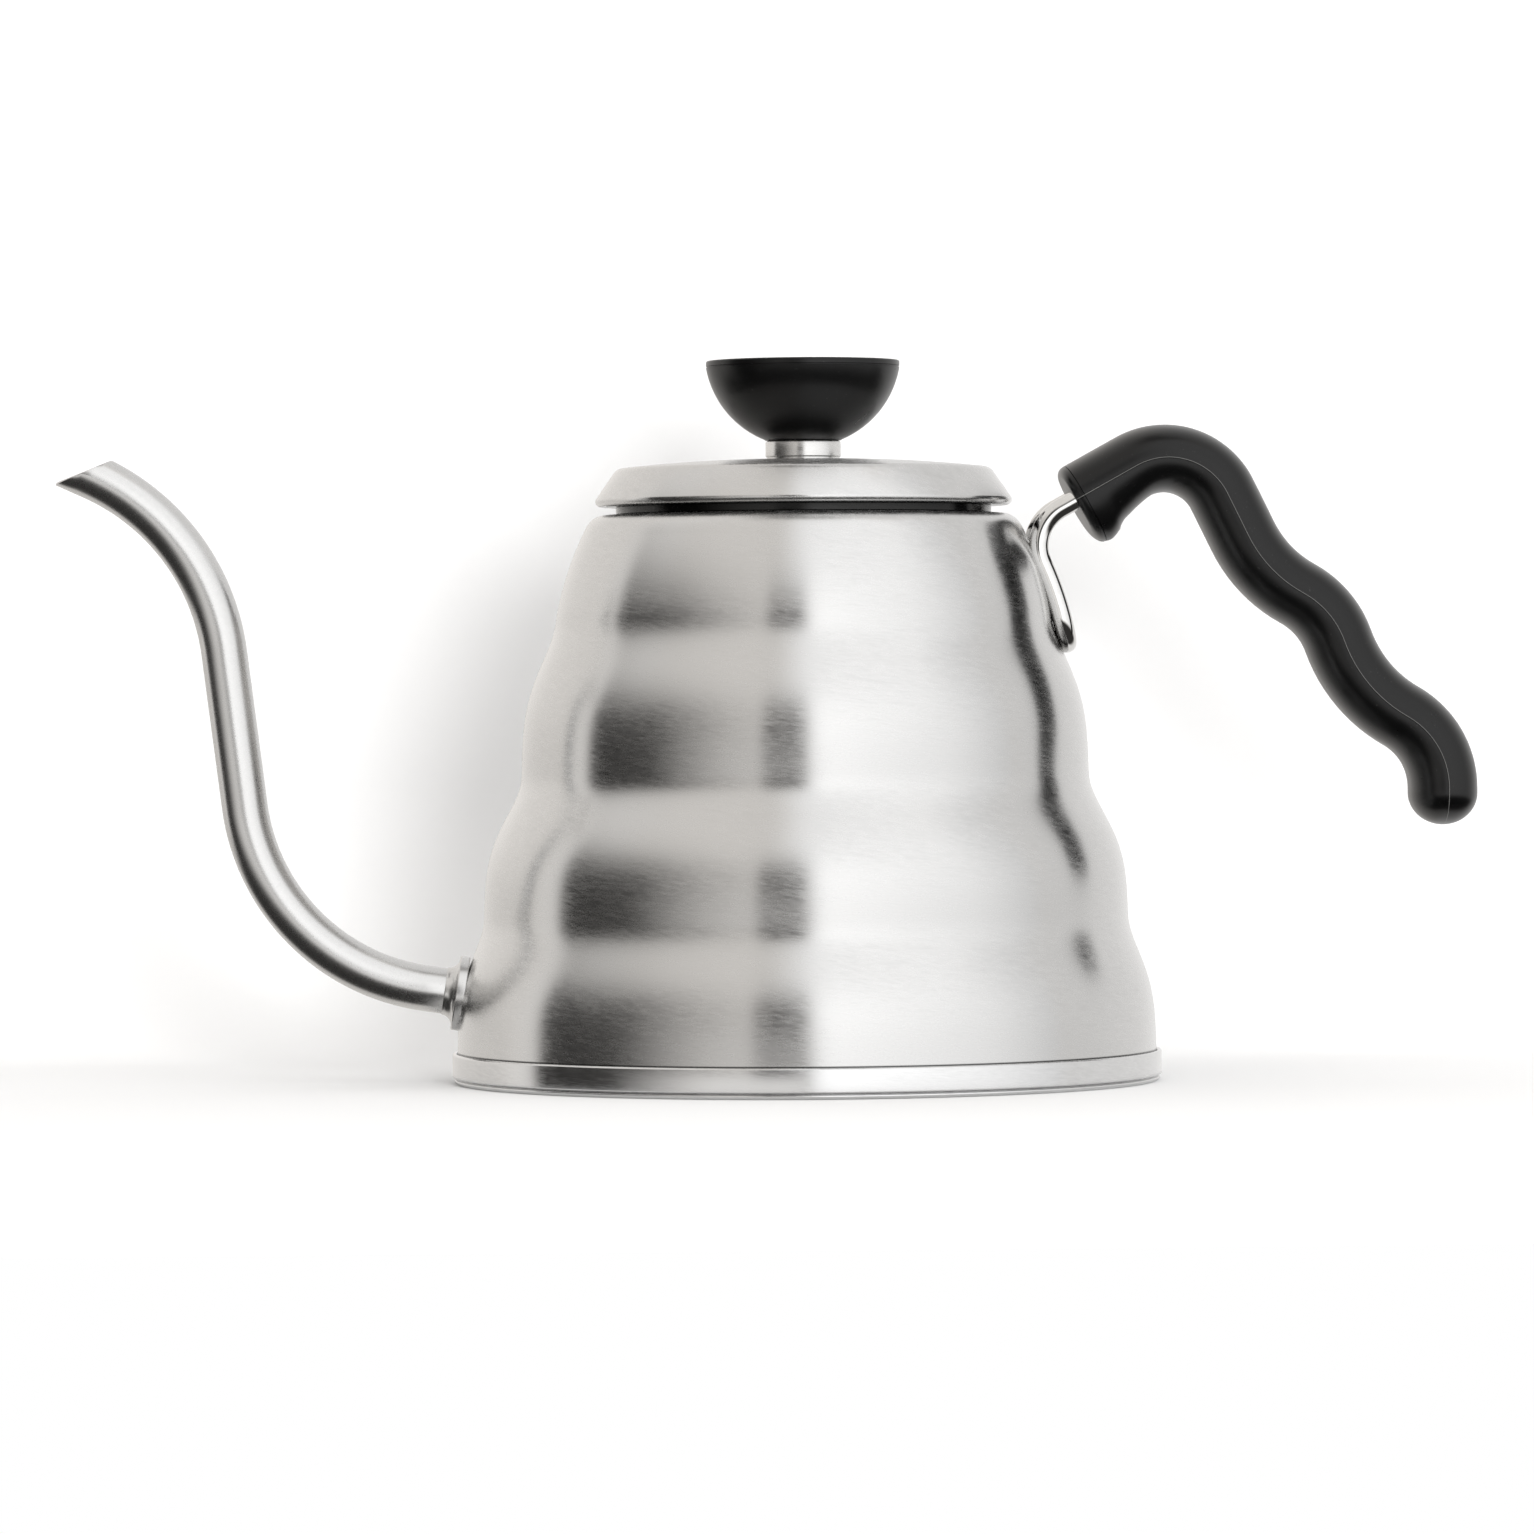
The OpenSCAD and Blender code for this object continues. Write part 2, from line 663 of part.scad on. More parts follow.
chin_low = grip_t / 2 + chin_drop;        // lowest point of the boss below the grip's axis
head_seat = grip_head_in + grip_head_h + washer_t;   // depth of the washer's seat in the boss
screw_top = grip_drop + bridge_t / 2;     // tip of the grip screw above the grip's axis

module chin() {
    translate([chin_back, 0, chin_r - chin_low])
        rotate([90, 0, 0])
            cylinder(r = chin_r, h = chin_w, center = true);
}

module handle_grip() {
    socket_r = wire_r + seat_gap;
    color("#1d1d1f")
        difference() {
            union() {
                grip_core();
                at_grip() chin();
            }
            at_grip() {
                for (side = [-1, 1])
                    translate([-cut_over, side * leg_y, grip_drop])
                        rotate([0, 90, 0])
                            cylinder(r = socket_r, h = socket_l + cut_over + seat_gap);
                translate([-cut_over, -leg_y, grip_drop - bridge_t / 2 - seat_gap])
                    cube([bridge_l + cut_over + seat_gap, 2 * leg_y, bridge_t + 2 * seat_gap]);
                translate([chin_back, 0, -chin_low - cut_over])
                    cylinder(r = grip_screw_r + screw_gap,
                             h = chin_low + cut_over + screw_top + screw_room);
                translate([chin_back, 0, -chin_low - cut_over])
                    cylinder(r = grip_head_r + screw_gap, h = cut_over + head_seat);
            }
        }
}

module handle_bridge() {
    inner = leg_y - wire_r - seat_gap;
    color("#a9a6a1")
        at_grip()
            difference() {
                translate([0, -inner, grip_drop - bridge_t / 2])
                    cube([bridge_l, 2 * inner, bridge_t]);
                translate([chin_back, 0, -far / 2]) cylinder(r = grip_screw_r + seat_gap, h = far);
            }
}

module handle_washer() {
    color("#c6c4c0")
        at_grip()
            translate([chin_back, 0, head_seat - washer_t - chin_low])
                difference() {
                    cylinder(r = grip_head_r, h = washer_t);
                    translate([0, 0, -washer_t])
                        cylinder(r = grip_screw_r + seat_gap, h = washer_t * 3);
                }
}

module handle_screw() {
    seat_z = head_seat - washer_t - chin_low;
    color("#c6c4c0")
        at_grip()
            translate([chin_back, 0, seat_z])
                pan_screw(grip_screw_r, screw_top - seat_z, grip_head_r, grip_head_h);
}

body_shell();
base_pan();
spout_tube();
spout_collar();
lid_shell();
lid_skirt();
knob_ferrule();
lid_knob();
knob_insert();
knob_washer();
knob_screw();
handle_wire();
handle_bridge();
handle_grip();
handle_washer();
handle_screw();
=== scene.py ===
"""Dresses the gooseneck kettle: spun steel, a swept tube, a bent wire and a moulded grip."""

import math

import bpy
from bpy.props import FloatProperty, FloatVectorProperty, IntProperty, PointerProperty
from bpy.types import Operator, Panel, PropertyGroup
from mathutils import Matrix, Vector


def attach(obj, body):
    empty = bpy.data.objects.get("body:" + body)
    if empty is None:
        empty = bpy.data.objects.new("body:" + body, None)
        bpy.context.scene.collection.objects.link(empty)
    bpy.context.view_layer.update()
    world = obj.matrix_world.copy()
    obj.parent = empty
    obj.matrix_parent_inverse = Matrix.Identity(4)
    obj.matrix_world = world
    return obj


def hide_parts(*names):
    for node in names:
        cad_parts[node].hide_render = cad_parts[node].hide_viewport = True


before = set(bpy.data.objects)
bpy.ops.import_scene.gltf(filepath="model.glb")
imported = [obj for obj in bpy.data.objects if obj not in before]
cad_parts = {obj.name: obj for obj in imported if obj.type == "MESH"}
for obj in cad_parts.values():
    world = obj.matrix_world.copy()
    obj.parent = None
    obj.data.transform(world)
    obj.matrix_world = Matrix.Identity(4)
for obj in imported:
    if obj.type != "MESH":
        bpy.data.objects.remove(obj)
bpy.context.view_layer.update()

bl_info = {
    "name": "Gooseneck Kettle",
    "version": (1, 0, 0),
    "blender": (4, 5, 0),
    "location": "View3D > Sidebar > Kettle",
    "description": "Builds the dressed pieces of a gooseneck kettle over its packed solids",
    "category": "Add Mesh",
}

MM = 0.001
KETTLE, LID = "kettle", "lid"


# ---------- sizes and finishes ----------


def length(name, description, default):
    return FloatProperty(name=name, description=description, default=default * MM, unit="LENGTH",
                         precision=5, min=0.0)


def shade(name, description, default):
    return FloatVectorProperty(name=name, description=description, default=default,
                               subtype="COLOR", size=3, min=0.0, max=1.0)


class KettleSizes(PropertyGroup):
    turns: IntProperty(name="Turns", description="Facets round a spun piece", default=256, min=32)
    wall: length("Sheet", "Thickness of the body's sheet", 0.8)
    tube_radius: length("Tube radius", "Outer radius of the pouring tube", 4.65)
    tube_wall: length("Tube wall", "Wall of the pouring tube", 0.6)
    wire_radius: length("Wire radius", "Radius of the bracket's wire", 2.0)
    leg_apart: length("Leg distance", "Distance of each leg from the middle plane", 7.5)
    grip_thick: length("Grip thickness", "Thickness of the grip seen from the side", 13.8)
    grip_wide: length("Grip width", "Width of the grip seen from above", 23.0)
    ridge: length("Mould line", "Height of the mould line along the grip", 0.08)


class KettleFinishes(PropertyGroup):
    steel: shade("Steel", "Brushed steel of body and lid", (0.60, 0.597, 0.592))
    band: shade("Band", "Brighter steel of the base band", (0.64, 0.64, 0.64))
    bright: shade("Bright steel", "Polished wire and turned collar", (0.66, 0.655, 0.645))
    phenolic: shade("Phenolic", "Black moulded grip and knob", (0.0018, 0.0018, 0.0019))
    brass: shade("Brass", "Threaded insert in the knob", (0.62, 0.46, 0.20))


class KettleStage(PropertyGroup):
    floor_tint: FloatProperty(name="Floor", description="Reflectance of floor and backdrop",
                              default=0.925, min=0.0)
    key_power: FloatProperty(name="Key power", description="Power of the soft key light",
                             default=7.4, unit="POWER", min=0.0)
    room_level: FloatProperty(name="Room level", description="Level of the room's even light",
                              default=0.97, min=0.0)


# ---------- hand tools ----------


def clear_selection():
    if bpy.context.object and bpy.context.object.mode != "OBJECT":
        bpy.ops.object.mode_set(mode="OBJECT")
    bpy.ops.object.select_all(action="DESELECT")


def named(name):
    piece = bpy.context.object
    piece.name = piece.data.name = name
    return piece


def point(place, height, across=0.0):
    """A place in the kettle's own millimetres, as metres."""
    return Vector((place * MM, across * MM, height * MM))


def spun(name, outline, turns, foot=(0, 0, 0), axis=(0, 0, 1)):
    """Draws an outline of (radius, height) points in mm beside an axis and spins it round."""
    clear_selection()
    axis = Vector(axis).normalized()
    side = axis.orthogonal().normalized()
    spots = [Vector(foot) + side * r * MM + axis * h * MM for r, h in outline]
    bpy.ops.mesh.primitive_plane_add(size=MM, location=(0, 0, 0))
    piece = named(name)
    bpy.ops.object.mode_set(mode="EDIT")
    bpy.ops.mesh.select_all(action="SELECT")
    bpy.ops.mesh.merge(type="CENTER")
    bpy.ops.transform.translate(value=spots[0])
    for start, end in zip(spots, spots[1:]):
        bpy.ops.mesh.extrude_vertices_move(TRANSFORM_OT_translate={"value": end - start})
    bpy.ops.mesh.select_all(action="SELECT")
    bpy.ops.mesh.spin(steps=turns, angle=math.tau, center=foot, axis=axis)
    close_up()
    return piece


def close_up():
    bpy.ops.mesh.select_all(action="SELECT")
    bpy.ops.mesh.remove_doubles(threshold=2e-6)
    bpy.ops.mesh.normals_make_consistent(inside=False)
    bpy.ops.object.mode_set(mode="OBJECT")


def smooth(piece, angle=32.0):
    clear_selection()
    piece.select_set(True)
    bpy.context.view_layer.objects.active = piece
    bpy.ops.object.shade_smooth_by_angle(angle=math.radians(angle))


def apply_modifier(piece, kind, **settings):
    clear_selection()
    piece.select_set(True)
    bpy.context.view_layer.objects.active = piece
    modifier = piece.modifiers.new(kind.title(), kind)
    for key, value in settings.items():
        setattr(modifier, key, value)
    bpy.ops.object.modifier_apply(modifier=modifier.name)


def bored(piece, radius, start, end):
    """Cuts a round hole between two places in metres."""
    clear_selection()
    start, end = Vector(start), Vector(end)
    way = end - start
    bpy.ops.mesh.primitive_cylinder_add(vertices=64, radius=radius * MM, depth=way.length,
                                        location=(start + end) / 2,
                                        rotation=way.to_track_quat("Z", "Y").to_euler())
    drill = bpy.context.object
    apply_modifier(piece, "BOOLEAN", operation="DIFFERENCE", solver="EXACT", object=drill)
    bpy.data.objects.remove(drill, do_unlink=True)


def dressed(piece, material, body, node=None, angle=32.0):
    """Gives a finished piece its shading, its material and its body, and hides the node it stands
    for.
    """
    smooth(piece, angle)
    piece.data.materials.clear()
    piece.data.materials.append(material)
    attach(piece, body)
    if node:
        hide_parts(node)


def arc(centre_r, centre_z, radius, start, end, count):
    return [(centre_r + radius * math.cos(math.radians(start + (end - start) * k / count)),
             centre_z + radius * math.sin(math.radians(start + (end - start) * k / count)))
            for k in range(count + 1)]


# ---------- a ring carried along a flat route ----------


class Route:
    """Carries a selected ring of edges in the kettle's middle plane, heading in degrees."""

    def __init__(self, place, height, heading, across=0.0):
        self.place, self.height, self.heading, self.across = place, height, heading, across

    def go(self, run):
        h = math.radians(self.heading)
        step = (run * math.cos(h), run * math.sin(h))
        bpy.ops.mesh.extrude_region_move(
            TRANSFORM_OT_translate={"value": point(step[0], step[1])})
        self.place += step[0]
        self.height += step[1]

    def turn(self, angle, radius, steps):
        """Turns the heading, anticlockwise when positive, round a centre beside the route."""
        h = math.radians(self.heading)
        side = math.copysign(1, angle)
        centre = (self.place - side * radius * math.sin(h),
                  self.height + side * radius * math.cos(h))
        bpy.ops.mesh.spin(steps=steps, angle=math.radians(angle),
                          center=point(*centre, self.across), axis=(0, 1, 0))
        self.heading += angle
        h = math.radians(self.heading)
        self.place = centre[0] + side * radius * math.sin(h)
        self.height = centre[1] - side * radius * math.cos(h)


def ring(name, radius, sides, route):
    """A circle of edges across the route's start, left selected in edit mode."""
    clear_selection()
    bpy.ops.mesh.primitive_circle_add(vertices=sides, radius=radius * MM, fill_type="NOTHING",
                                      location=(0, 0, 0))
    piece = named(name)
    bpy.ops.object.mode_set(mode="EDIT")
    bpy.ops.mesh.select_all(action="SELECT")
    bpy.ops.transform.rotate(value=math.radians(route.heading - 90), orient_axis="Y",
                             center_override=(0, 0, 0))
    bpy.ops.transform.translate(value=point(route.place, route.height, route.across))
    return piece


# ---------- materials ----------


class Finish:
    """Adds nodes to a material's tree and joins them."""

    def __init__(self, name):
        self.material = bpy.data.materials.new(name)
        self.material.use_nodes = True
        self.tree = self.material.node_tree
        self.shader = self.tree.nodes["Principled BSDF"]

    def add(self, kind, inputs=None, **settings):
        node = self.tree.nodes.new(kind)
        for key, value in settings.items():
            setattr(node, key, value)
        for key, value in (inputs or {}).items():
            self.feed(node.inputs[key], value)
        return node

    def feed(self, socket, value):
        if isinstance(value, bpy.types.NodeSocket):
            self.tree.links.new(value, socket)
        else:
            socket.default_value = value

    def sums(self, operation, *values):
        return self.add("ShaderNodeMath", dict(enumerate(values)), operation=operation).outputs[0]

    def noise(self, vector, scale, detail=2.0, rough=0.5):
        return self.add("ShaderNodeTexNoise", {"Vector": vector, "Scale": scale, "Detail": detail,
                                               "Roughness": rough}).outputs["Fac"]

    def mapped(self, value, low, high, from_low=0.0, from_high=1.0):
        return self.add("ShaderNodeMapRange", {"Value": value, "From Min": from_low,
                                               "From Max": from_high, "To Min": low,
                                               "To Max": high}).outputs[0]

    def stepped(self, value, low, high):
        """0 below low and 1 above high with a soft step between; the reverse when high is less."""
        return self.add("ShaderNodeMapRange", {"Value": value, "From Min": low, "From Max": high},
                        interpolation_type="SMOOTHSTEP").outputs[0]

    def scaled(self, colour, level):
        return self.add("ShaderNodeVectorMath", {0: colour, "Scale": level},
                        operation="SCALE").outputs[0]

    def tinted(self, colour, value, low, high):
        """The colour, darkened and lightened by a value from 0 to 1."""
        return self.scaled((*colour,), self.mapped(value, low, high))

    def place(self):
        coordinates = self.add("ShaderNodeTexCoord").outputs["Object"]
        return self.add("ShaderNodeSeparateXYZ", {0: coordinates}).outputs, coordinates

    def bump(self, height, strength, distance, normal=None):
        node = self.add("ShaderNodeBump", {"Height": height, "Strength": strength,
                                           "Distance": distance})
        if normal:
            self.feed(node.inputs["Normal"], normal)
        return node.outputs[0]


# the brushing round the axis: how it follows the wall outwards and climbs as it goes round
STREAK_LEAN, STREAK_CLIMB = 0.83, 0.09
# thin and broad streaks: repeats per metre round and up, and where their pattern starts
THIN_STREAKS, BROAD_STREAKS, THIN_SHARE = (420.0, 2900.0, 0.0), (120.0, 1200.0, 7.3), 0.65
THIN_RELIEF, BROAD_RELIEF = (0.6, 5e-6), (0.25, 6e-6)   # strength, and depth in metres
# softness in mm of the edges of the bands of painted shade
SHADE_BAND_EDGE = 0.15


def brushed(name, colour, roughness, depth=1.0, smear=0.8, painted_shade_bands=()):
    """Steel brushed round the axis in a slow screw, with bands of painted shade as (from, to,
    level) in mm up.
    """
    look = Finish(name)
    (x, y, z), coordinates = look.place()
    out = look.sums("SQRT", look.sums("ADD", look.sums("MULTIPLY", x, x),
                                      look.sums("MULTIPLY", y, y)))
    turn = look.sums("ARCTAN2", x, look.sums("MULTIPLY", y, -1.0))
    lean = look.sums("MULTIPLY_ADD", turn, STREAK_CLIMB, STREAK_LEAN)
    along = look.sums("ADD", z, look.sums("MULTIPLY", out, lean))

    def streaks(round_scale, up_scale, shift):
        vector = look.add("ShaderNodeCombineXYZ", {
            0: look.sums("MULTIPLY", x, round_scale), 1: look.sums("MULTIPLY", y, round_scale),
            2: look.sums("MULTIPLY_ADD", along, up_scale, shift)}).outputs[0]
        return look.noise(vector, 1.0, 2.0, 0.6)

    thin, broad = streaks(*THIN_STREAKS), streaks(*BROAD_STREAKS)
    mixed = look.sums("ADD", look.sums("MULTIPLY", thin, THIN_SHARE),
                      look.sums("MULTIPLY", broad, 1 - THIN_SHARE))
    cloud = look.noise(coordinates, 30.0, 3.0)
    shaded = look.tinted(colour, mixed, 0.84, 1.16)
    # painted shade: each band darkens the base colour to its level between two heights
    for low, high, level in painted_shade_bands:
        mask = look.sums("MULTIPLY", look.stepped(z, (low - SHADE_BAND_EDGE) * MM,
                                                  (low + SHADE_BAND_EDGE) * MM),
                         look.stepped(z, (high + SHADE_BAND_EDGE) * MM, (high - SHADE_BAND_EDGE) * MM))
        shaded = look.scaled(shaded, look.mapped(mask, 1.0, level))
    look.feed(look.shader.inputs["Base Color"], shaded)
    look.feed(look.shader.inputs["Roughness"],
              look.sums("ADD", look.mapped(mixed, roughness - 0.12, roughness + 0.13),
                        look.mapped(cloud, -0.02, 0.02)))
    look.shader.inputs["Metallic"].default_value = 1.0
    look.shader.inputs["Anisotropic"].default_value = smear
    look.shader.inputs["Anisotropic Rotation"].default_value = 0.25
    look.feed(look.shader.inputs["Tangent"],
              look.add("ShaderNodeTangent", direction_type="RADIAL", axis="Z").outputs[0])
    relief = look.bump(broad, BROAD_RELIEF[0] * depth, BROAD_RELIEF[1])
    look.feed(look.shader.inputs["Normal"],
              look.bump(thin, THIN_RELIEF[0] * depth, THIN_RELIEF[1], relief))
    return look.material


def satin(name, colour, roughness, grain=900.0, depth=1.0):
    """Satin or polished steel without a brushing direction, with a faint grain."""
    look = Finish(name)
    coordinates = look.place()[1]
    speck = look.noise(coordinates, grain, 3.0, 0.6)
    cloud = look.noise(coordinates, 60.0, 3.0)
    look.feed(look.shader.inputs["Base Color"], look.tinted(colour, speck, 0.93, 1.07))
    look.feed(look.shader.inputs["Roughness"],
              look.sums("ADD", look.mapped(speck, roughness - 0.03, roughness + 0.03),
                        look.mapped(cloud, -0.02, 0.02)))
    look.shader.inputs["Metallic"].default_value = 1.0
    look.feed(look.shader.inputs["Normal"], look.bump(speck, 0.12 * depth, 6e-6))
    return look.material


def moulded(name, colour):
    """Black phenolic: a satin skin with shallow pores and faint pale specks, and a painted
    highlight of pale colour along the mould line.
    """
    look = Finish(name)
    coordinates = look.place()[1]
    pores = look.noise(coordinates, 2600.0, 2.0, 0.6)
    wave = look.noise(coordinates, 210.0, 3.0)
    specks = look.mapped(look.noise(coordinates, 1900.0, 1.0), 0.0, 1.0, 0.72, 0.80)
    # painted highlight: the mould line is coloured pale grey for the light its ridge catches
    line = look.add("ShaderNodeAttribute", attribute_name="mould_line_highlight").outputs["Fac"]
    pale = look.sums("MAXIMUM", look.sums("MULTIPLY", specks, 0.12), line)
    base = look.tinted(colour, wave, 0.8, 1.25)
    # the pale grey mixed in here is the painted highlight's colour
    look.feed(look.shader.inputs["Base Color"], look.add("ShaderNodeMix", {
        0: pale, 6: base, 7: (0.16, 0.16, 0.155, 1.0)}, data_type="RGBA").outputs[2])
    look.feed(look.shader.inputs["Roughness"], look.mapped(wave, 0.25, 0.33))
    look.shader.inputs["Specular IOR Level"].default_value = 0.33
    look.feed(look.shader.inputs["Normal"], look.bump(pores, 0.25, 1.2e-5,
                                                      look.bump(wave, 0.1, 4e-5)))
    return look.material


def finish_of(key):
    """The kettle's materials, made once each."""
    looks = bpy.context.scene.kettle_finishes
    makers = {
        # painted shade: a near-black band on the neck in the gap under the lid's rolled edge, and
        # a dark band where the body meets the base band, for the shade in that seam
        "kettle_brushed": lambda n: brushed(n, looks.steel, 0.25, painted_shade_bands=[
            (LEDGE_Z + 0.1, NECK_TOP + 0.1, 0.06), (PAN_H - 1.5, PAN_H + 0.25, 0.12)]),
        "kettle_band": lambda n: brushed(n, looks.band, 0.2, depth=0.7, smear=0.4),
        "kettle_tube": lambda n: satin(n, looks.steel, 0.27),
        "kettle_turned": lambda n: brushed(n, looks.bright, 0.26, depth=0.8, smear=0.3),
        "kettle_wire": lambda n: satin(n, looks.bright, 0.1, 700.0, 0.6),
        "kettle_phenolic": lambda n: moulded(n, looks.phenolic),
        "kettle_brass": lambda n: satin(n, looks.brass, 0.26),
    }
    return bpy.data.materials.get(key) or makers[key](key)


# ---------- body and base ----------

PAN_R, PAN_H, PAN_WALL, SEAT = 72.0, 6.2, 1.0, 0.05
FOOT_R = PAN_R - PAN_WALL - SEAT
NECK_R, SHOULDER_ROUND, NECK_H, LEAN = 38.1, 4.4, 1.7, 26.0
TIER_Z = [PAN_H, 33.2, 61.8, 94.0, 112.6]
TIER_R = [FOOT_R, 65.4, 57.6, 50.4, NECK_R + 6.1]
LEDGE_Z = TIER_Z[4] + SHOULDER_ROUND * (1 - math.sin(math.radians(LEAN)))
NECK_TOP = LEDGE_Z + NECK_H
SLOPE, BOW, TIER_STEPS, EASE = 0.12, 0.5, 24, 1.2


def wall_radius(height):
    """Outer radius of the body at a height between the band and the shoulder."""
    tier = max(k for k in range(4) if k == 0 or height >= TIER_Z[k])
    u = (TIER_Z[tier + 1] - height) / (TIER_Z[tier + 1] - TIER_Z[tier])
    if tier == 3:
        growth = u * (1 + BOW * (1 - u))
    else:
        growth = (1 - SLOPE) * (1 - (1 - u) ** 4 * (1 + 4 * u)) + SLOPE * u
    return TIER_R[tier + 1] + (TIER_R[tier] - TIER_R[tier + 1]) * growth


def eased_radius(height):
    """The wall's radius with the steps between its tiers drawn round, as a press leaves them."""
    spots = [min(max(height + EASE * k / 3, PAN_H), TIER_Z[4]) for k in range(-3, 4)]
    return sum(wall_radius(spot) for spot in spots) / len(spots)


def wall_outline(inset, neck_round):
    heights = [TIER_Z[t] + (TIER_Z[t + 1] - TIER_Z[t]) * k / TIER_STEPS
               for t in range(4) for k in range(TIER_STEPS)]
    shoulder_r = TIER_R[4] - SHOULDER_ROUND * math.cos(math.radians(LEAN))
    shoulder_z = LEDGE_Z - SHOULDER_ROUND
    return ([(FOOT_R - inset, PAN_WALL + SEAT), (FOOT_R - inset, 3.5)]
            + [(eased_radius(z) - inset, z) for z in heights]
            + arc(shoulder_r, shoulder_z, SHOULDER_ROUND - inset, LEAN, 90, 12)
            + [(NECK_R - inset + neck_round, LEDGE_Z - inset),
               (NECK_R - inset, LEDGE_Z - inset + neck_round),
               (NECK_R - inset, NECK_TOP - 0.15)])


TUBE_RISE, TUBE_FOOT_Z, TUBE_BORE = 8.7, 18.3, 5.4
TUBE_FOOT = point(-wall_radius(TUBE_FOOT_Z), TUBE_FOOT_Z)
TUBE_WAY = Vector((-math.cos(math.radians(TUBE_RISE)), 0, math.sin(math.radians(TUBE_RISE))))


class KETTLE_OT_body(Operator):
    """Spins the tiered body and bores the spout's hole through its wall"""

    bl_idname = "kettle.body_shell"
    bl_label = "Body"

    def execute(self, context):
        sizes = context.scene.kettle_sizes
        wall = sizes.wall / MM
        outer, inner = wall_outline(0.0, 0.25), wall_outline(wall, 0.1)
        rim = [(NECK_R - 0.15, NECK_TOP), (NECK_R - wall + 0.15, NECK_TOP)]
        body = spun("tiered_body", outer + rim + inner[::-1] + outer[:1], sizes.turns)
        bored(body, TUBE_BORE, TUBE_FOOT - TUBE_WAY * 6 * MM, TUBE_FOOT + TUBE_WAY * 6 * MM)
        dressed(body, finish_of("kettle_brushed"), KETTLE, "body_shell", 40.0)
        return {"FINISHED"}


class KETTLE_OT_pan(Operator):
    """Spins the base pan with its rolled band and the thin lip below the groove"""

    bl_idname = "kettle.base_pan"
    bl_label = "Base pan"

    def execute(self, context):
        inner, lip_r, lip_h, groove = PAN_R - PAN_WALL, PAN_R - 0.4, 1.3, 0.4
        outline = ([(0, 0), (lip_r - 1.6, 0)]
                   + arc(lip_r - 0.6, 0.6, 0.6, -90, 0, 8)
                   + arc(lip_r - 0.18, lip_h - groove - 0.18, 0.18, 0, 90, 4)
                   + [(lip_r - groove, lip_h - groove / 2 - 0.05)]
                   + arc(PAN_R - 0.25, lip_h + 0.25, 0.25, -90, 0, 5)
                   + arc(PAN_R - 0.5, PAN_H - 0.5, 0.5, 0, 180, 16)
                   + [(inner, PAN_WALL + 0.4), (inner - 0.4, PAN_WALL), (0, PAN_WALL)])
        pan = spun("rolled_pan", outline, context.scene.kettle_sizes.turns)
        dressed(pan, finish_of("kettle_band"), KETTLE, "base_pan", 40.0)
        return {"FINISHED"}


# ---------- spout ----------

# the tube's route: how far it reaches in behind the wall, the straight to the low bend, that bend
# as angle and radius, the long rise, the high bend, and the last straight to the slanted tip
TUBE_SINK, TUBE_LEAD, LOW_BEND = 3.2, 7.7, (-74.1, 42.9)
TUBE_CLIMB, HIGH_BEND, TIP_RUN, TIP_SLANT = 31.6, (58.4, 45.4), 2.0, 42.0
TIP_SPARE = 12.0                # cut off past the tip
FLANGE_R, FLANGE_H, FLANGE_FILLET = 7.6, 1.3, 2.2


class KETTLE_OT_spout(Operator):
    """Sweeps the pouring tube, cuts its slanted tip and spins the flanged collar"""

    bl_idname = "kettle.spout"
    bl_label = "Spout and collar"

    def execute(self, context):
        sizes = context.scene.kettle_sizes
        radius, wall = sizes.tube_radius / MM, sizes.tube_wall / MM
        start = TUBE_FOOT / MM - TUBE_WAY * TUBE_SINK
        route = Route(start.x, start.z, 180 - TUBE_RISE)
        tube = ring("pouring_tube", radius, 64, route)
        route.go(TUBE_SINK + TUBE_LEAD)
        route.turn(*LOW_BEND, 44)
        for _ in range(4):
            route.go(TUBE_CLIMB / 4)
        route.turn(*HIGH_BEND, 36)
        route.go(TIP_RUN)
        tip = point(route.place, route.height)
        cut = math.radians(route.heading - TIP_SLANT)
        route.go(TIP_SPARE)
        bpy.ops.mesh.select_all(action="SELECT")
        bpy.ops.mesh.bisect(plane_co=tip, plane_no=(math.cos(cut), 0, math.sin(cut)),
                            clear_outer=True)
        bpy.ops.mesh.select_all(action="SELECT")
        bpy.ops.mesh.normals_make_consistent(inside=False)
        bpy.ops.object.mode_set(mode="OBJECT")
        if self.faces_in(tube, radius):
            bpy.ops.object.mode_set(mode="EDIT")
            bpy.ops.mesh.flip_normals()
            bpy.ops.object.mode_set(mode="OBJECT")
        apply_modifier(tube, "SOLIDIFY", thickness=wall * MM, offset=-1.0, use_rim=True,
                       use_even_offset=True)
        apply_modifier(tube, "BEVEL", width=0.12 * MM, segments=2, limit_method="ANGLE",
                       angle_limit=math.radians(50))
        dressed(tube, finish_of("kettle_tube"), KETTLE, "spout_tube", 30.0)

        bore, sleeve, top = radius + SEAT, radius + 0.7, FLANGE_H + FLANGE_FILLET
        outline = ([(bore, -TUBE_SINK), (sleeve, -TUBE_SINK), (sleeve, -0.7),
                    (FLANGE_R - 0.2, -0.7), (FLANGE_R, -0.5), (FLANGE_R, FLANGE_H - 0.3)]
                   + arc(FLANGE_R - 0.3, FLANGE_H - 0.3, 0.3, 0, 90, 5)
                   + arc(bore + FLANGE_FILLET + 0.12, top, FLANGE_FILLET, 270, 183, 14)
                   + [(bore, top + 0.05), (bore, -TUBE_SINK)])
        collar = spun("spout_flange", outline, 96, TUBE_FOOT, TUBE_WAY)
        dressed(collar, finish_of("kettle_tube"), KETTLE, "spout_collar", 40.0)
        return {"FINISHED"}

    @staticmethod
    def faces_in(tube, radius):
        """True where the tube's first face points at the tube's own axis."""
        face = tube.data.polygons[0]
        return face.normal.dot(face.center - TUBE_FOOT) - face.normal.dot(
            TUBE_WAY * (face.center - TUBE_FOOT).dot(TUBE_WAY)) < 0


# ---------- lid ----------

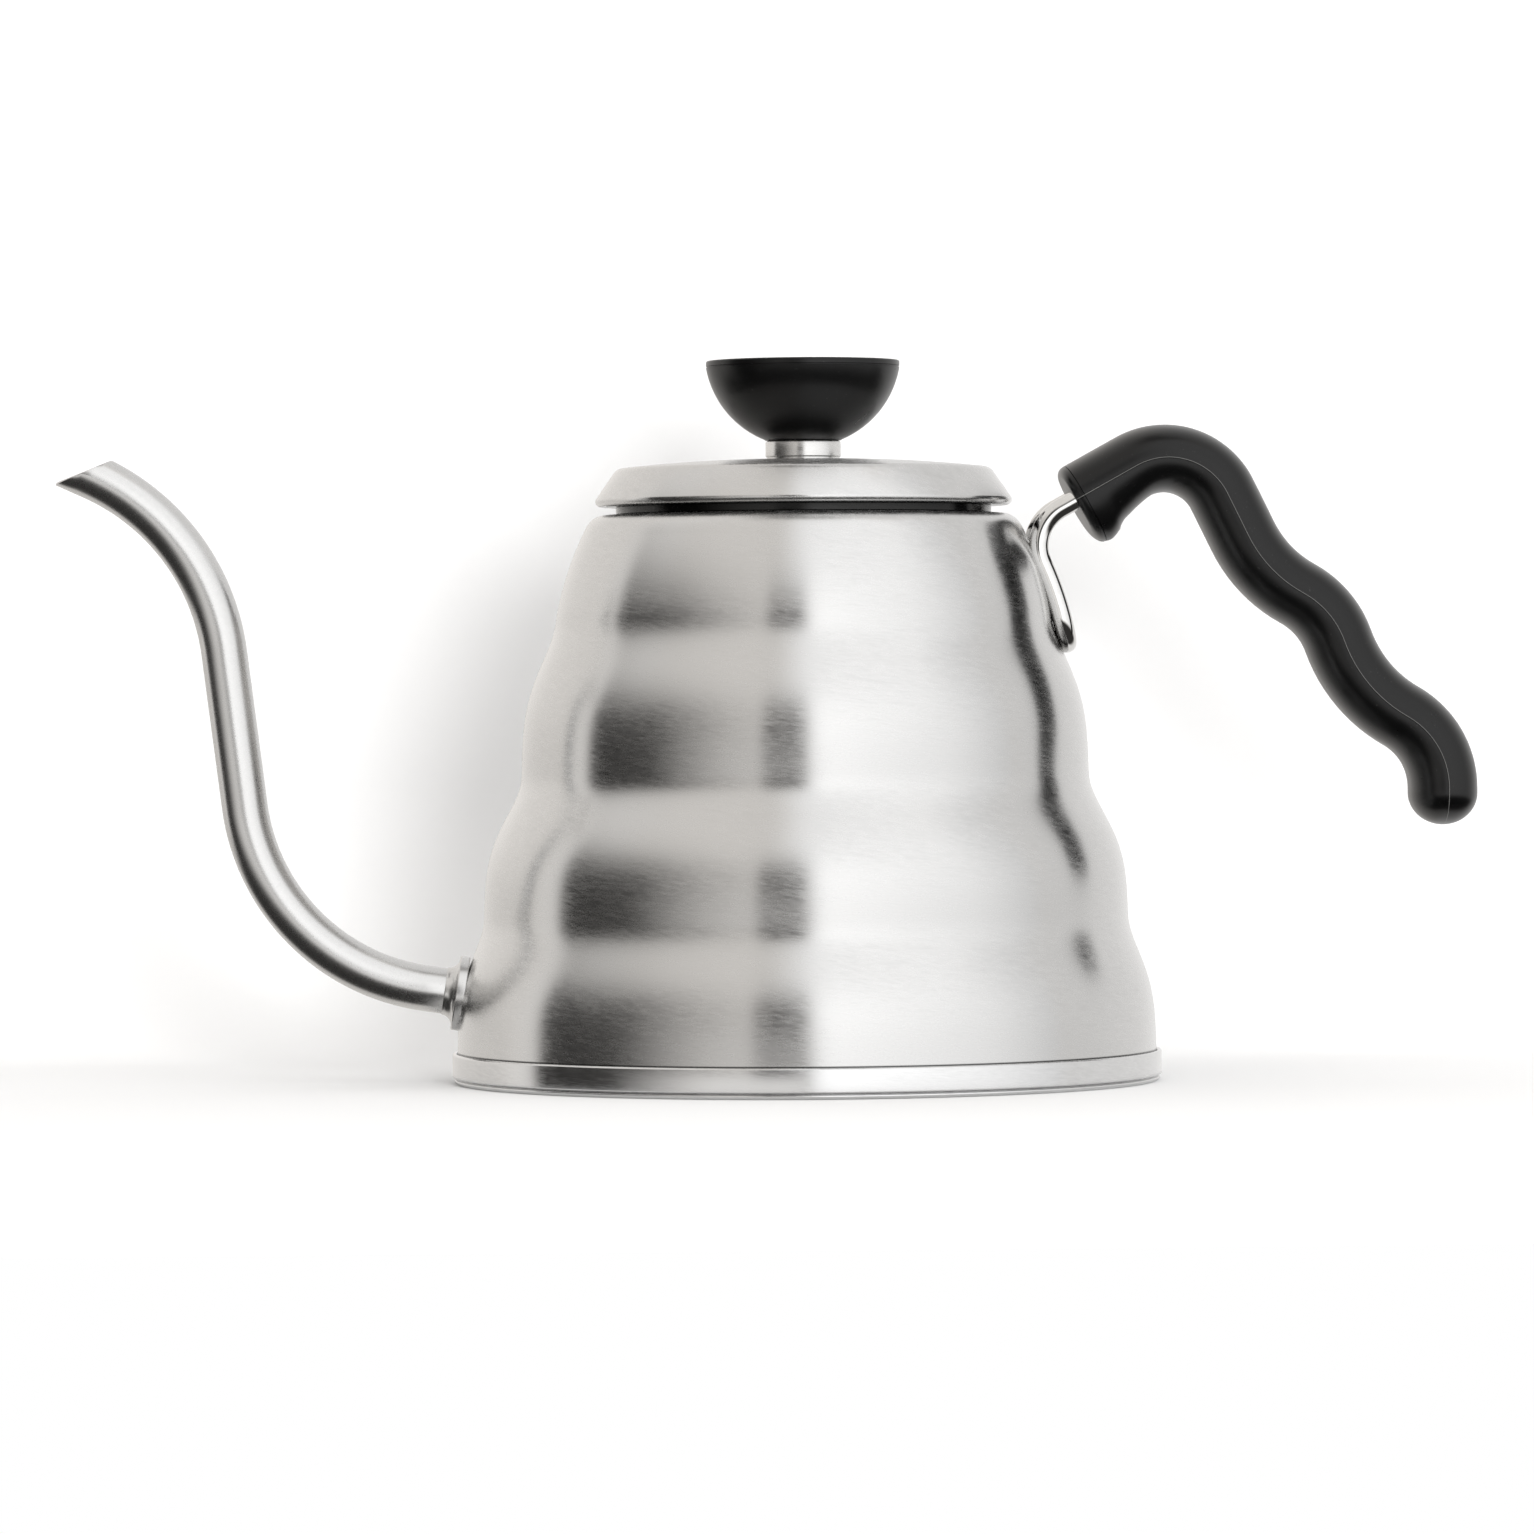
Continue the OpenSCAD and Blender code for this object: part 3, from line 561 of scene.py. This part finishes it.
LID_R, BEAD = NECK_R + 4.2, 1.1
CROWN_R, CROWN_Z, DOME, CORNER = LID_R - 4.4, NECK_TOP + 7.8, 1.6, 2.3
FERRULE_R, FERRULE_H = 7.65, 3.9
LID_TOP, FLAT_R, LID_WALL = CROWN_Z + DOME, FERRULE_R + 0.6, 0.8
BEAD_Z, BEAD_C = NECK_TOP + BEAD, LID_R - BEAD
SCREW_HOLE = 2.3
RING_GAP, RING_DEEP, RING_SHEET = 0.4, 11.0, 0.7
SIDE_LEAN = math.degrees(math.atan((LID_R - CROWN_R) / (CROWN_Z - BEAD_Z)))
CORNER_R = CROWN_R - CORNER * (1 - math.sin(math.radians(SIDE_LEAN))) / math.cos(
    math.radians(SIDE_LEAN))


def lid_outline(inset):
    dome = []
    for k in range(1, 17):
        u = 1 - k / 16
        dome.append((FLAT_R + (CORNER_R - FLAT_R) * u, LID_TOP - DOME * u * u - inset))
    return arc(CORNER_R, CROWN_Z - CORNER, CORNER - inset, SIDE_LEAN, 90, 12) + dome


class KETTLE_OT_lid(Operator):
    """Spins the lid with its rolled edge, and the inner ring that centres it"""

    bl_idname = "kettle.lid"
    bl_label = "Lid"

    def execute(self, context):
        sizes = context.scene.kettle_sizes
        outer, inner = lid_outline(0.0), lid_outline(LID_WALL)
        outline = (arc(BEAD_C, BEAD_Z, BEAD, 150, 360 + SIDE_LEAN * 0.6, 22) + outer
                   + [(SCREW_HOLE, LID_TOP), (SCREW_HOLE, LID_TOP - LID_WALL)] + inner[::-1])
        lid = spun("spun_lid", outline + outline[:1], sizes.turns)
        dressed(lid, finish_of("kettle_brushed"), LID, "lid_shell", 40.0)

        ring_r, flange = NECK_R - sizes.wall / MM - RING_GAP, BEAD_C - BEAD - SEAT
        inside, low = ring_r - RING_SHEET, NECK_TOP - RING_DEEP
        outline = [(inside, low + 0.2), (ring_r - RING_SHEET / 2, low), (ring_r, low + 0.2),
                   (ring_r, NECK_TOP - 0.3), (ring_r + 0.3, NECK_TOP), (flange, NECK_TOP),
                   (flange, NECK_TOP + RING_SHEET), (inside + 0.5, NECK_TOP + RING_SHEET),
                   (inside, NECK_TOP + 0.2)]
        skirt = spun("inner_ring", outline + outline[:1], 192)
        dressed(skirt, finish_of("kettle_brushed"), LID, "lid_skirt", 30.0)
        return {"FINISHED"}


# ---------- knob ----------

KNOB_Z = LID_TOP + FERRULE_H
KNOB_TOP, KNOB_R, KNOB_BAND, BOWL_R = KNOB_Z + 16.2, 19.65, 1.4, 19.4
DISH, INSERT_R, INSERT_H = 1.0, 3.65, 13.0


class KETTLE_OT_knob(Operator):
    """Spins the bowl-shaped knob with its rim band, and the turned collar under it"""

    bl_idname = "kettle.knob"
    bl_label = "Knob and collar"

    def execute(self, context):
        foot, rim = Vector((FERRULE_R + 0.3, KNOB_Z + 0.2)), Vector((KNOB_R, KNOB_TOP - KNOB_BAND))
        chord = rim - foot
        rise = math.sqrt(BOWL_R ** 2 - chord.length_squared / 4) / chord.length
        centre = (foot + rim) / 2 + Vector((-chord.y, chord.x)) * rise
        low, high = (math.degrees(math.atan2(end.y - centre.y, end.x - centre.x))
                     for end in (foot, rim))
        dish_r = KNOB_R - 1.6
        outline = ([(0, KNOB_Z + INSERT_H), (INSERT_R, KNOB_Z + INSERT_H), (INSERT_R, KNOB_Z),
                    (FERRULE_R, KNOB_Z)]
                   + arc(centre.x, centre.y, BOWL_R, low, high, 40)
                   + [(KNOB_R - 0.16, rim.y + 0.06), (KNOB_R - 0.16, rim.y + 0.2),
                      (KNOB_R, rim.y + 0.3), (KNOB_R, KNOB_TOP - 0.45)]
                   + arc(KNOB_R - 0.4, KNOB_TOP - 0.4, 0.4, 0, 90, 6)
                   + [(dish_r + 0.4, KNOB_TOP)]
                   + [(dish_r * (1 - k / 12), KNOB_TOP - DISH * (1 - (1 - k / 12) ** 2))
                      for k in range(13)])
        knob = spun("bowl_knob", outline, 160)
        dressed(knob, finish_of("kettle_phenolic"), LID, "lid_knob", 40.0)

        groove = FERRULE_R - 0.25
        outline = [(SCREW_HOLE, LID_TOP), (groove - 0.1, LID_TOP), (groove, LID_TOP + 0.1),
                   (groove, LID_TOP + 0.45), (FERRULE_R, LID_TOP + 0.7),
                   (FERRULE_R, KNOB_Z - 0.5), (FERRULE_R - 0.12, KNOB_Z - 0.25),
                   (FERRULE_R - 0.5, KNOB_Z), (SCREW_HOLE, KNOB_Z)]
        collar = spun("turned_collar", outline + outline[:1], 128)
        dressed(collar, finish_of("kettle_turned"), LID, "knob_ferrule", 30.0)
        return {"FINISHED"}


# ---------- handle ----------

GRIP_RISE = 29.0
FACE = (54.20, 117.41)          # where the wire's axis enters the grip
GRIP_DROP = 0.1
# distance behind the front face and depth of the underside below the axis
CHIN = [(0.0, 8.2), (0.5, 9.3), (1.5, 10.2), (3.2, 10.85), (4.5, 10.6), (5.8, 9.95), (6.5, 9.35),
        (7.7, 8.6), (9.5, 8.05), (11.5, 7.5), (13.8, 7.05), (16.0, 6.9)]
# the grip's bends behind its straight front: angle, radius and side
GRIP_ROUTE = [(93.0, 13.3, -1), (35.0, 26.9, 1), (41.5, 18.0, -1), (40.5, 28.8, 1),
              (60.0, 16.8, -1)]
GRIP_FRONT, GRIP_FALL, GRIP_TAIL, TAIL_ROUND = 14.5, 9.4, 1.1, 6.5
FRONT_EDGE, FRONT_LINE, LINE_DEEP = 1.7, 2.15, 0.13     # its rounding, and its mould line
BOSS_BACK, BOSS_R, BOSS_DEEP = 4.0, 2.9, 3.3            # the screw's hole under the front
WIRE_LEAN, WIRE_CORNER, WIRE_FOOT = 14.7, 5.8, (51.75, 94.2)
LEG_SWEEP, LEG_BEND_R, WIRE_IN = (9.5, 67.0), 8.7, 12.0


def bulged(value, squareness=2.4):
    return math.copysign(abs(value) ** (2 / squareness), value)


def chin_depth(back):
    """Depth of the grip's underside below its axis, at a distance behind its front face."""
    if back >= CHIN[-1][0]:
        return CHIN[-1][1]
    back = max(back, 0.0)
    k = max(i for i in range(len(CHIN) - 1) if CHIN[i][0] <= back)
    (a, low), (b, high) = CHIN[k], CHIN[k + 1]
    u = (back - a) / (b - a)
    before = CHIN[k - 1] if k > 0 else CHIN[k]
    after = CHIN[k + 2] if k + 2 < len(CHIN) else CHIN[k + 1]
    slope_a = (high - before[1]) / (b - before[0]) * (b - a)
    slope_b = (after[1] - low) / (after[0] - a) * (b - a)
    return (low * (2 * u ** 3 - 3 * u ** 2 + 1) + high * (3 * u ** 2 - 2 * u ** 3)
            + slope_a * (u ** 3 - 2 * u ** 2 + u) + slope_b * (u ** 3 - u ** 2))


class KETTLE_OT_wire(Operator):
    """Sweeps one half of the wire bracket along its bends and mirrors it"""

    bl_idname = "kettle.wire"
    bl_label = "Wire bracket"

    def execute(self, context):
        sizes = context.scene.kettle_sizes
        radius, apart = sizes.wire_radius / MM, sizes.leg_apart / MM
        lean, rise = math.radians(WIRE_LEAN), math.radians(GRIP_RISE)
        clear_selection()
        bpy.ops.mesh.primitive_circle_add(vertices=48, radius=radius * MM, fill_type="NOTHING",
                                          location=(0, 0, 0), rotation=(math.pi / 2, 0, 0))
        wire = named("bent_wire")
        bpy.ops.object.transform_apply(location=True, rotation=True, scale=True)
        bpy.ops.object.mode_set(mode="EDIT")
        bpy.ops.mesh.select_all(action="SELECT")
        up = Vector((-math.sin(lean), 0, math.cos(lean)))
        bpy.ops.transform.translate(value=point(*WIRE_FOOT) - up * WIRE_CORNER * MM)
        bpy.ops.mesh.extrude_region_move(
            TRANSFORM_OT_translate={"value": point(0, 0, WIRE_CORNER - apart)})
        # the corner turns from the bar up into the leg
        bpy.ops.mesh.spin(steps=16, angle=math.pi / 2, axis=up.cross(Vector((0, -1, 0))),
                          center=point(*WIRE_FOOT, WIRE_CORNER - apart))
        route = Route(*WIRE_FOOT, 90 + WIRE_LEAN, -apart)
        route.turn(*LEG_SWEEP, 14)
        route.turn(GRIP_RISE - route.heading, LEG_BEND_R, 24)
        run = (FACE[0] - route.place) * math.cos(rise) + (FACE[1] - route.height) * math.sin(rise)
        route.go(run + WIRE_IN)
        bpy.ops.mesh.edge_face_add()
        close_up()
        apply_modifier(wire, "MIRROR", use_axis=(False, True, False), use_clip=True,
                       merge_threshold=2e-6)
        bpy.ops.object.mode_set(mode="EDIT")
        close_up()
        dressed(wire, finish_of("kettle_wire"), KETTLE, "handle_wire", 40.0)
        return {"FINISHED"}


class KETTLE_OT_grip(Operator):
    """Lofts the moulded grip: rounded front, chin, two finger rests, tail and mould lines"""

    bl_idname = "kettle.grip"
    bl_label = "Grip"

    def execute(self, context):
        sizes = context.scene.kettle_sizes
        half_t, half_w = sizes.grip_thick / MM / 2, sizes.grip_wide / MM / 2
        ridge = sizes.ridge / MM
        rise = math.radians(GRIP_RISE)
        start = (FACE[0] + GRIP_DROP * math.sin(rise), FACE[1] - GRIP_DROP * math.cos(rise))

        def section(inset=0.0, lowered=None, scale=1.0):
            """Points (across, up) of the grip's section; its underside may reach lower."""
            angles = []
            for quarter in range(4):
                angles += [quarter * 90 + a for a in (
                    [0, 0.35, 1.2, 4] if quarter % 2 == 0 else [0]) + list(range(8, 83, 6))]
                if quarter % 2 == 1:
                    angles += [quarter * 90 + a for a in (86, 88.8, 89.65)]
            spots = []
            for a in angles:
                c, s = math.cos(math.radians(a)), math.sin(math.radians(a))
                at_seam = abs(s) < 0.004
                wide = half_w - inset + (ridge if at_seam else 0.0)
                tall = (lowered if lowered and s < 0 else half_t) - inset
                spots.append((wide * bulged(c) * scale, tall * bulged(s) * scale))
            return spots

        rings, middles = [], set()

        def put(spots, x, z, heading):
            h = math.radians(heading)
            middles.add((round(x, 3), round(z, 3)))
            rings.append([point(x - up * math.sin(h), z + up * math.cos(h), across)
                          for across, up in spots])

        # rounded front, mould line round it and chin, as distance back and inset
        stops = [(0.5 + FRONT_EDGE * (1 - math.cos(math.radians(a))),
                  FRONT_EDGE * (1 - math.sin(math.radians(a)))) for a in range(0, 90, 15)]
        stops += [(FRONT_LINE + 0.05, 0.0), (FRONT_LINE + 0.17, 0.0),
                  (FRONT_LINE + 0.25, LINE_DEEP), (FRONT_LINE + 0.33, 0.0)]
        stops += [(FRONT_LINE + 0.7 + 0.5 * k, 0.0) for k in range(24)]
        for back, inset in stops:
            if back < GRIP_FRONT:
                put(section(inset, chin_depth(back)), start[0] + back * math.cos(rise),
                    start[1] + back * math.sin(rise), GRIP_RISE)

        # crest, finger rests and tail
        x, z, heading = (start[0] + GRIP_FRONT * math.cos(rise),
                         start[1] + GRIP_FRONT * math.sin(rise), GRIP_RISE)
        back = GRIP_FRONT
        for number, (turn, radius, side) in enumerate(GRIP_ROUTE):
            h = math.radians(heading)
            if number == 1:
                for k in range(1, 4):
                    put(section(), x + GRIP_FALL * k / 4 * math.cos(h),
                        z + GRIP_FALL * k / 4 * math.sin(h), heading)
                x += GRIP_FALL * math.cos(h)
                z += GRIP_FALL * math.sin(h)
            # each bend leaves its last section to the next one
            steps = max(10, int(turn / 3.2))
            for k in range(steps + 1):
                h1 = math.radians(heading + side * turn * k / steps)
                spot = (x + side * radius * (math.sin(h1) - math.sin(h)),
                        z - side * radius * (math.cos(h1) - math.cos(h)))
                if k < steps or number == len(GRIP_ROUTE) - 1:
                    depth = chin_depth(back + radius * math.radians(turn) * k / steps)
                    put(section(lowered=depth), *spot, math.degrees(h1))
            x, z = spot
            heading += side * turn
            back += radius * math.radians(turn)
        h = math.radians(heading)
        x, z = x + GRIP_TAIL * math.cos(h), z + GRIP_TAIL * math.sin(h)
        for k in range(13):
            a = math.radians(86 * k / 12)
            put(section(scale=math.cos(a)), x + TAIL_ROUND * math.sin(a) * math.cos(h),
                z + TAIL_ROUND * math.sin(a) * math.sin(h), heading)

        grip = lofted("moulded_grip", rings)
        chin = chin_depth(BOSS_BACK)
        down = Vector((math.sin(rise), 0, -math.cos(rise)))
        above = point(start[0] + BOSS_BACK * math.cos(rise), start[1] + BOSS_BACK * math.sin(rise))
        bored(grip, BOSS_R, above + down * (chin + 4) * MM, above + down * (chin - BOSS_DEEP) * MM)
        # marks the points on the mould line, which the phenolic paints with a pale highlight
        line = grip.data.attributes.new("mould_line_highlight", "FLOAT", "POINT")
        for vertex in grip.data.vertices:
            spot = (round(vertex.co.x / MM, 3), round(vertex.co.z / MM, 3))
            line.data[vertex.index].value = float(spot in middles)
        dressed(grip, finish_of("kettle_phenolic"), KETTLE, "handle_grip", 40.0)
        return {"FINISHED"}


def lofted(name, rings):
    """Extrudes a ring of edges from one section to the next and closes both ends."""
    clear_selection()
    count = len(rings[0])
    bpy.ops.mesh.primitive_circle_add(vertices=count, radius=MM, fill_type="NOTHING",
                                      location=(0, 0, 0))
    piece = named(name)
    vertices = piece.data.vertices
    for vertex, spot in zip(vertices, rings[0]):
        vertex.co = spot
    for spots in rings[1:]:
        bpy.ops.object.mode_set(mode="EDIT")
        bpy.ops.mesh.extrude_region_move()
        bpy.ops.object.mode_set(mode="OBJECT")
        vertices = piece.data.vertices
        for vertex, spot in zip(vertices[len(vertices) - count:], spots):
            vertex.co = spot
    bpy.ops.object.mode_set(mode="EDIT")
    bpy.ops.mesh.edge_face_add()
    bpy.ops.mesh.select_all(action="DESELECT")
    bpy.ops.object.mode_set(mode="OBJECT")
    for vertex in piece.data.vertices[:count]:
        vertex.select = True
    bpy.ops.object.mode_set(mode="EDIT")
    bpy.ops.mesh.select_mode(type="VERT")
    bpy.ops.mesh.edge_face_add()
    close_up()
    return piece


class KETTLE_OT_fixings(Operator):
    """Finishes the screws, washers, insert and strip that hold knob and grip"""

    bl_idname = "kettle.fixings"
    bl_label = "Fixings"

    def execute(self, context):
        for node, key in (("knob_insert", "kettle_brass"), ("knob_washer", "kettle_turned"),
                          ("knob_screw", "kettle_turned"), ("handle_bridge", "kettle_turned"),
                          ("handle_washer", "kettle_turned"), ("handle_screw", "kettle_turned")):
            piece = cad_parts[node]
            for slot in piece.material_slots:
                slot.material = finish_of(key)
        return {"FINISHED"}


# ---------- stage ----------

# all in metres
PAPER_WIDE, PAPER_DEEP, PAPER_HIGH = 1.6, 0.54, 0.9
PAPER_BACK, PAPER_CURVE = 0.08, 0.06    # where the floor starts to curve up, and that curve
MIRRORED_TO = (0.074, 0.082)
KEY_PLACE, KEY_SIZE, KEY_AIM = (0.18, -1.2, 0.25), 0.32, (0, 0, 0.07)
CAMERA_PLACE = (-0.0686, -1.5835, 0.084)
CAMERA_ANGLES = (-2.2, 0.73, 0.37)      # yaw, pitch down and roll in degrees
SENSOR = 36.0                           # in mm
CAMERA_REACH = 7801.0 / 1534.0          # focal length beside the frame's width
ZENITH, ZENITH_LEVEL = (66, 82), 0.2    # where the room's light fades overhead, in degrees
WARM = (1.035, 0.96)                    # red and blue of the room's warm light, beside green

# the room's cards as the steel sees them, in degrees: azimuth from and its edge, azimuth to and
# its edge, top and its edge, then the level at the first azimuth and at the last, and how far
# from warm to neutral their light is
ROOM_CARDS = [
    (-112, 16, -80, 16, 80, 10, 1.02, 1.00, 0.3),
    (-11, 20, 60, 1, 72, 16, 1.40, 1.46, 1.0),
    (-190, 1, -118, 12, 2, 12, 0.80, 0.80, 0.0),
    (-101, 5, -66, 1, 26, 26, 0.03, 0.06, 0.0),
    (-66, 1, -22, 4, 26, 26, 0.04, 0.78, 0.0),
    (-20, 5, -2, 6, 27, 22, 0.05, 0.08, 0.0),
    (1, 7, 60, 1, 30, 24, 1.80, 1.36, 1.0),
    (60, 1, 90, 6, 58, 16, 1.36, 0.95, 1.0),
    (90, 12, 190, 1, 90, 2, 0.95, 0.97, 0.7),
    (-66, 2, -36, 1, -1.6, 2, 0.15, 1.10, 0.3),
    (-36, 1, -3, 6, -1.6, 2, 1.10, 1.15, 0.5),
    (-125, 24, 125, 24, -17, 14, 0.04, 0.04, 0.0),
]


class RoomFinish(Finish):
    """The same tools on the world's tree."""

    def __init__(self, world):
        world.use_nodes = True
        self.tree = world.node_tree
        self.tree.nodes.clear()


class KETTLE_OT_stage(Operator):
    """Sets the pale floor and backdrop, the soft light and the camera"""

    bl_idname = "kettle.stage"
    bl_label = "Stage"

    def execute(self, context):
        setup = context.scene.kettle_stage
        self.room(context, setup)
        self.floor(setup)
        self.lamp(setup)
        self.camera(context)
        context.scene.view_settings.view_transform = "Standard"
        return {"FINISHED"}

    def room(self, context, setup):
        world = context.scene.world or bpy.data.worlds.new("Room")
        context.scene.world = world
        look = RoomFinish(world)
        x, y, z = look.add("ShaderNodeSeparateXYZ", {
            0: look.add("ShaderNodeTexCoord").outputs["Generated"]}).outputs
        azimuth = look.sums("DEGREES", look.sums("ARCTAN2", x, look.sums("MULTIPLY", y, -1.0)))
        height = look.sums("DEGREES", look.sums("ARCSINE", z))
        level = look.mapped(look.stepped(height, *ZENITH), setup.room_level, ZENITH_LEVEL)
        neutral = 0.0
        for a0, edge0, a1, edge1, top, soft, level0, level1, plain in ROOM_CARDS:
            mask = look.sums("MULTIPLY", look.stepped(azimuth, a0 - edge0 / 2, a0 + edge0 / 2),
                             look.stepped(azimuth, a1 + edge1 / 2, a1 - edge1 / 2))
            mask = look.sums("MULTIPLY", mask,
                             look.stepped(height, top + soft / 2, top - soft / 2))
            card = look.mapped(azimuth, level0, level1, a0, a1)
            level = look.add("ShaderNodeMix", {0: mask, 2: level, 3: card}).outputs[0]
            neutral = look.add("ShaderNodeMix", {0: mask, 2: neutral, 3: plain}).outputs[0]
        seen = look.add("ShaderNodeLightPath").outputs["Is Camera Ray"]
        shown = look.add("ShaderNodeMix", {0: seen, 2: level, 3: 1.0}).outputs[0]
        plain = look.sums("MAXIMUM", seen, neutral)
        red, blue = (look.sums("MULTIPLY", shown, look.mapped(plain, warm, 1.0)) for warm in WARM)
        colour = look.add("ShaderNodeCombineColor", {0: red, 1: shown, 2: blue}).outputs[0]
        light = look.add("ShaderNodeBackground", {"Color": colour, "Strength": 1.0})
        look.tree.links.new(light.outputs[0], look.add("ShaderNodeOutputWorld").inputs[0])

    def floor(self, setup):
        look = Finish("stage_paper")
        look.tree.nodes.remove(look.shader)
        coordinates = look.place()[1]
        seen = look.add("ShaderNodeBsdfDiffuse", {
            "Color": look.tinted((setup.floor_tint,) * 3, look.noise(coordinates, 400.0, 2.0),
                                 0.995, 1.005)})
        lit = look.add("ShaderNodeBsdfDiffuse", {"Color": (0.8, 0.8, 0.8, 1.0)})
        path = look.add("ShaderNodeLightPath").outputs
        paper_look = look.add("ShaderNodeMixShader", {
            0: path["Is Camera Ray"], 1: lit.outputs[0], 2: seen.outputs[0]})
        # the steel sees the paper only close by, and past it the room's cards
        away = look.add("ShaderNodeVectorMath", {0: coordinates}, operation="LENGTH")
        far = look.stepped(away.outputs["Value"], *MIRRORED_TO)
        open_to = look.sums("MAXIMUM", look.add("ShaderNodeNewGeometry").outputs["Backfacing"],
                            look.sums("MULTIPLY", path["Is Glossy Ray"], far))
        surface = look.add("ShaderNodeMixShader", {
            0: open_to, 1: paper_look.outputs[0],
            2: look.add("ShaderNodeBsdfTransparent").outputs[0]})
        look.tree.links.new(surface.outputs[0], look.tree.nodes["Material Output"].inputs[0])

        clear_selection()
        bpy.ops.mesh.primitive_plane_add(size=1.0, location=(0, 0, 0))
        paper = named("paper_sweep")
        bpy.ops.object.mode_set(mode="EDIT")
        bpy.ops.mesh.select_all(action="SELECT")
        bpy.ops.transform.resize(value=(PAPER_WIDE, PAPER_DEEP, 1.0))
        bpy.ops.transform.translate(value=(0, PAPER_BACK - PAPER_DEEP / 2, 0))
        bpy.ops.mesh.select_all(action="DESELECT")
        bpy.ops.object.mode_set(mode="OBJECT")
        for edge in paper.data.edges:
            edge.select = all(paper.data.vertices[v].co.y > 0 for v in edge.vertices)
        bpy.ops.object.mode_set(mode="EDIT")
        bpy.ops.mesh.select_mode(type="EDGE")
        bpy.ops.mesh.spin(steps=24, angle=math.radians(-90), axis=(1, 0, 0),
                          center=(0, PAPER_BACK, PAPER_CURVE))
        bpy.ops.mesh.extrude_region_move(TRANSFORM_OT_translate={"value": (0, 0, PAPER_HIGH)})
        bpy.ops.mesh.select_all(action="SELECT")
        bpy.ops.object.mode_set(mode="OBJECT")
        smooth(paper, 60)
        paper.data.materials.append(look.material)

    def lamp(self, setup):
        clear_selection()
        bpy.ops.object.light_add(type="AREA", location=KEY_PLACE)
        lamp = named("key_light")
        lamp.data.shape = "DISK"
        lamp.data.size = KEY_SIZE
        lamp.data.energy = setup.key_power
        lamp.visible_glossy = False
        way = Vector(KEY_AIM) - Vector(KEY_PLACE)
        lamp.rotation_euler = way.to_track_quat("-Z", "Y").to_euler()

    def camera(self, context):
        yaw, pitch, roll = (math.radians(angle) for angle in CAMERA_ANGLES)
        ahead = Vector((-math.sin(yaw) * math.cos(pitch), math.cos(yaw) * math.cos(pitch),
                        -math.sin(pitch)))
        right = ahead.cross(Vector((0, 0, 1))).normalized()
        up = right.cross(ahead)
        tilted_right = right * math.cos(roll) - up * math.sin(roll)
        tilted_up = right * math.sin(roll) + up * math.cos(roll)
        turn = Matrix((tilted_right, tilted_up, -ahead)).transposed()
        data = bpy.data.cameras.new("view")
        camera = bpy.data.objects.new("view", data)
        context.collection.objects.link(camera)
        data.sensor_width = SENSOR
        data.lens = CAMERA_REACH * SENSOR
        data.clip_start, data.clip_end = 0.05, 20.0
        camera.matrix_world = Matrix.Translation(CAMERA_PLACE) @ turn.to_4x4()
        context.scene.camera = camera


class KETTLE_PT_panel(Panel):
    """Lists the kettle's steps"""

    bl_idname = "KETTLE_PT_panel"
    bl_label = "Kettle"
    bl_space_type = "VIEW_3D"
    bl_region_type = "UI"
    bl_category = "Kettle"

    def draw(self, context):
        for step in STEPS:
            self.layout.operator(step.bl_idname)
        for group in (context.scene.kettle_sizes, context.scene.kettle_finishes,
                      context.scene.kettle_stage):
            box = self.layout.box()
            for name in group.__annotations__:
                box.prop(group, name)


STEPS = [KETTLE_OT_body, KETTLE_OT_pan, KETTLE_OT_spout, KETTLE_OT_lid, KETTLE_OT_knob,
         KETTLE_OT_wire, KETTLE_OT_grip, KETTLE_OT_fixings, KETTLE_OT_stage]
GROUPS = {"kettle_sizes": KettleSizes, "kettle_finishes": KettleFinishes,
          "kettle_stage": KettleStage}


def register():
    for group in GROUPS.values():
        bpy.utils.register_class(group)
    for step in STEPS:
        bpy.utils.register_class(step)
    bpy.utils.register_class(KETTLE_PT_panel)
    for name, group in GROUPS.items():
        setattr(bpy.types.Scene, name, PointerProperty(type=group))


def unregister():
    for name in GROUPS:
        delattr(bpy.types.Scene, name)
    for step in (KETTLE_PT_panel, *STEPS, *GROUPS.values()):
        bpy.utils.unregister_class(step)


def main():
    register()
    for step in STEPS:
        area, name = step.bl_idname.split(".")
        getattr(getattr(bpy.ops, area), name)()


if __name__ == "__main__":
    main()
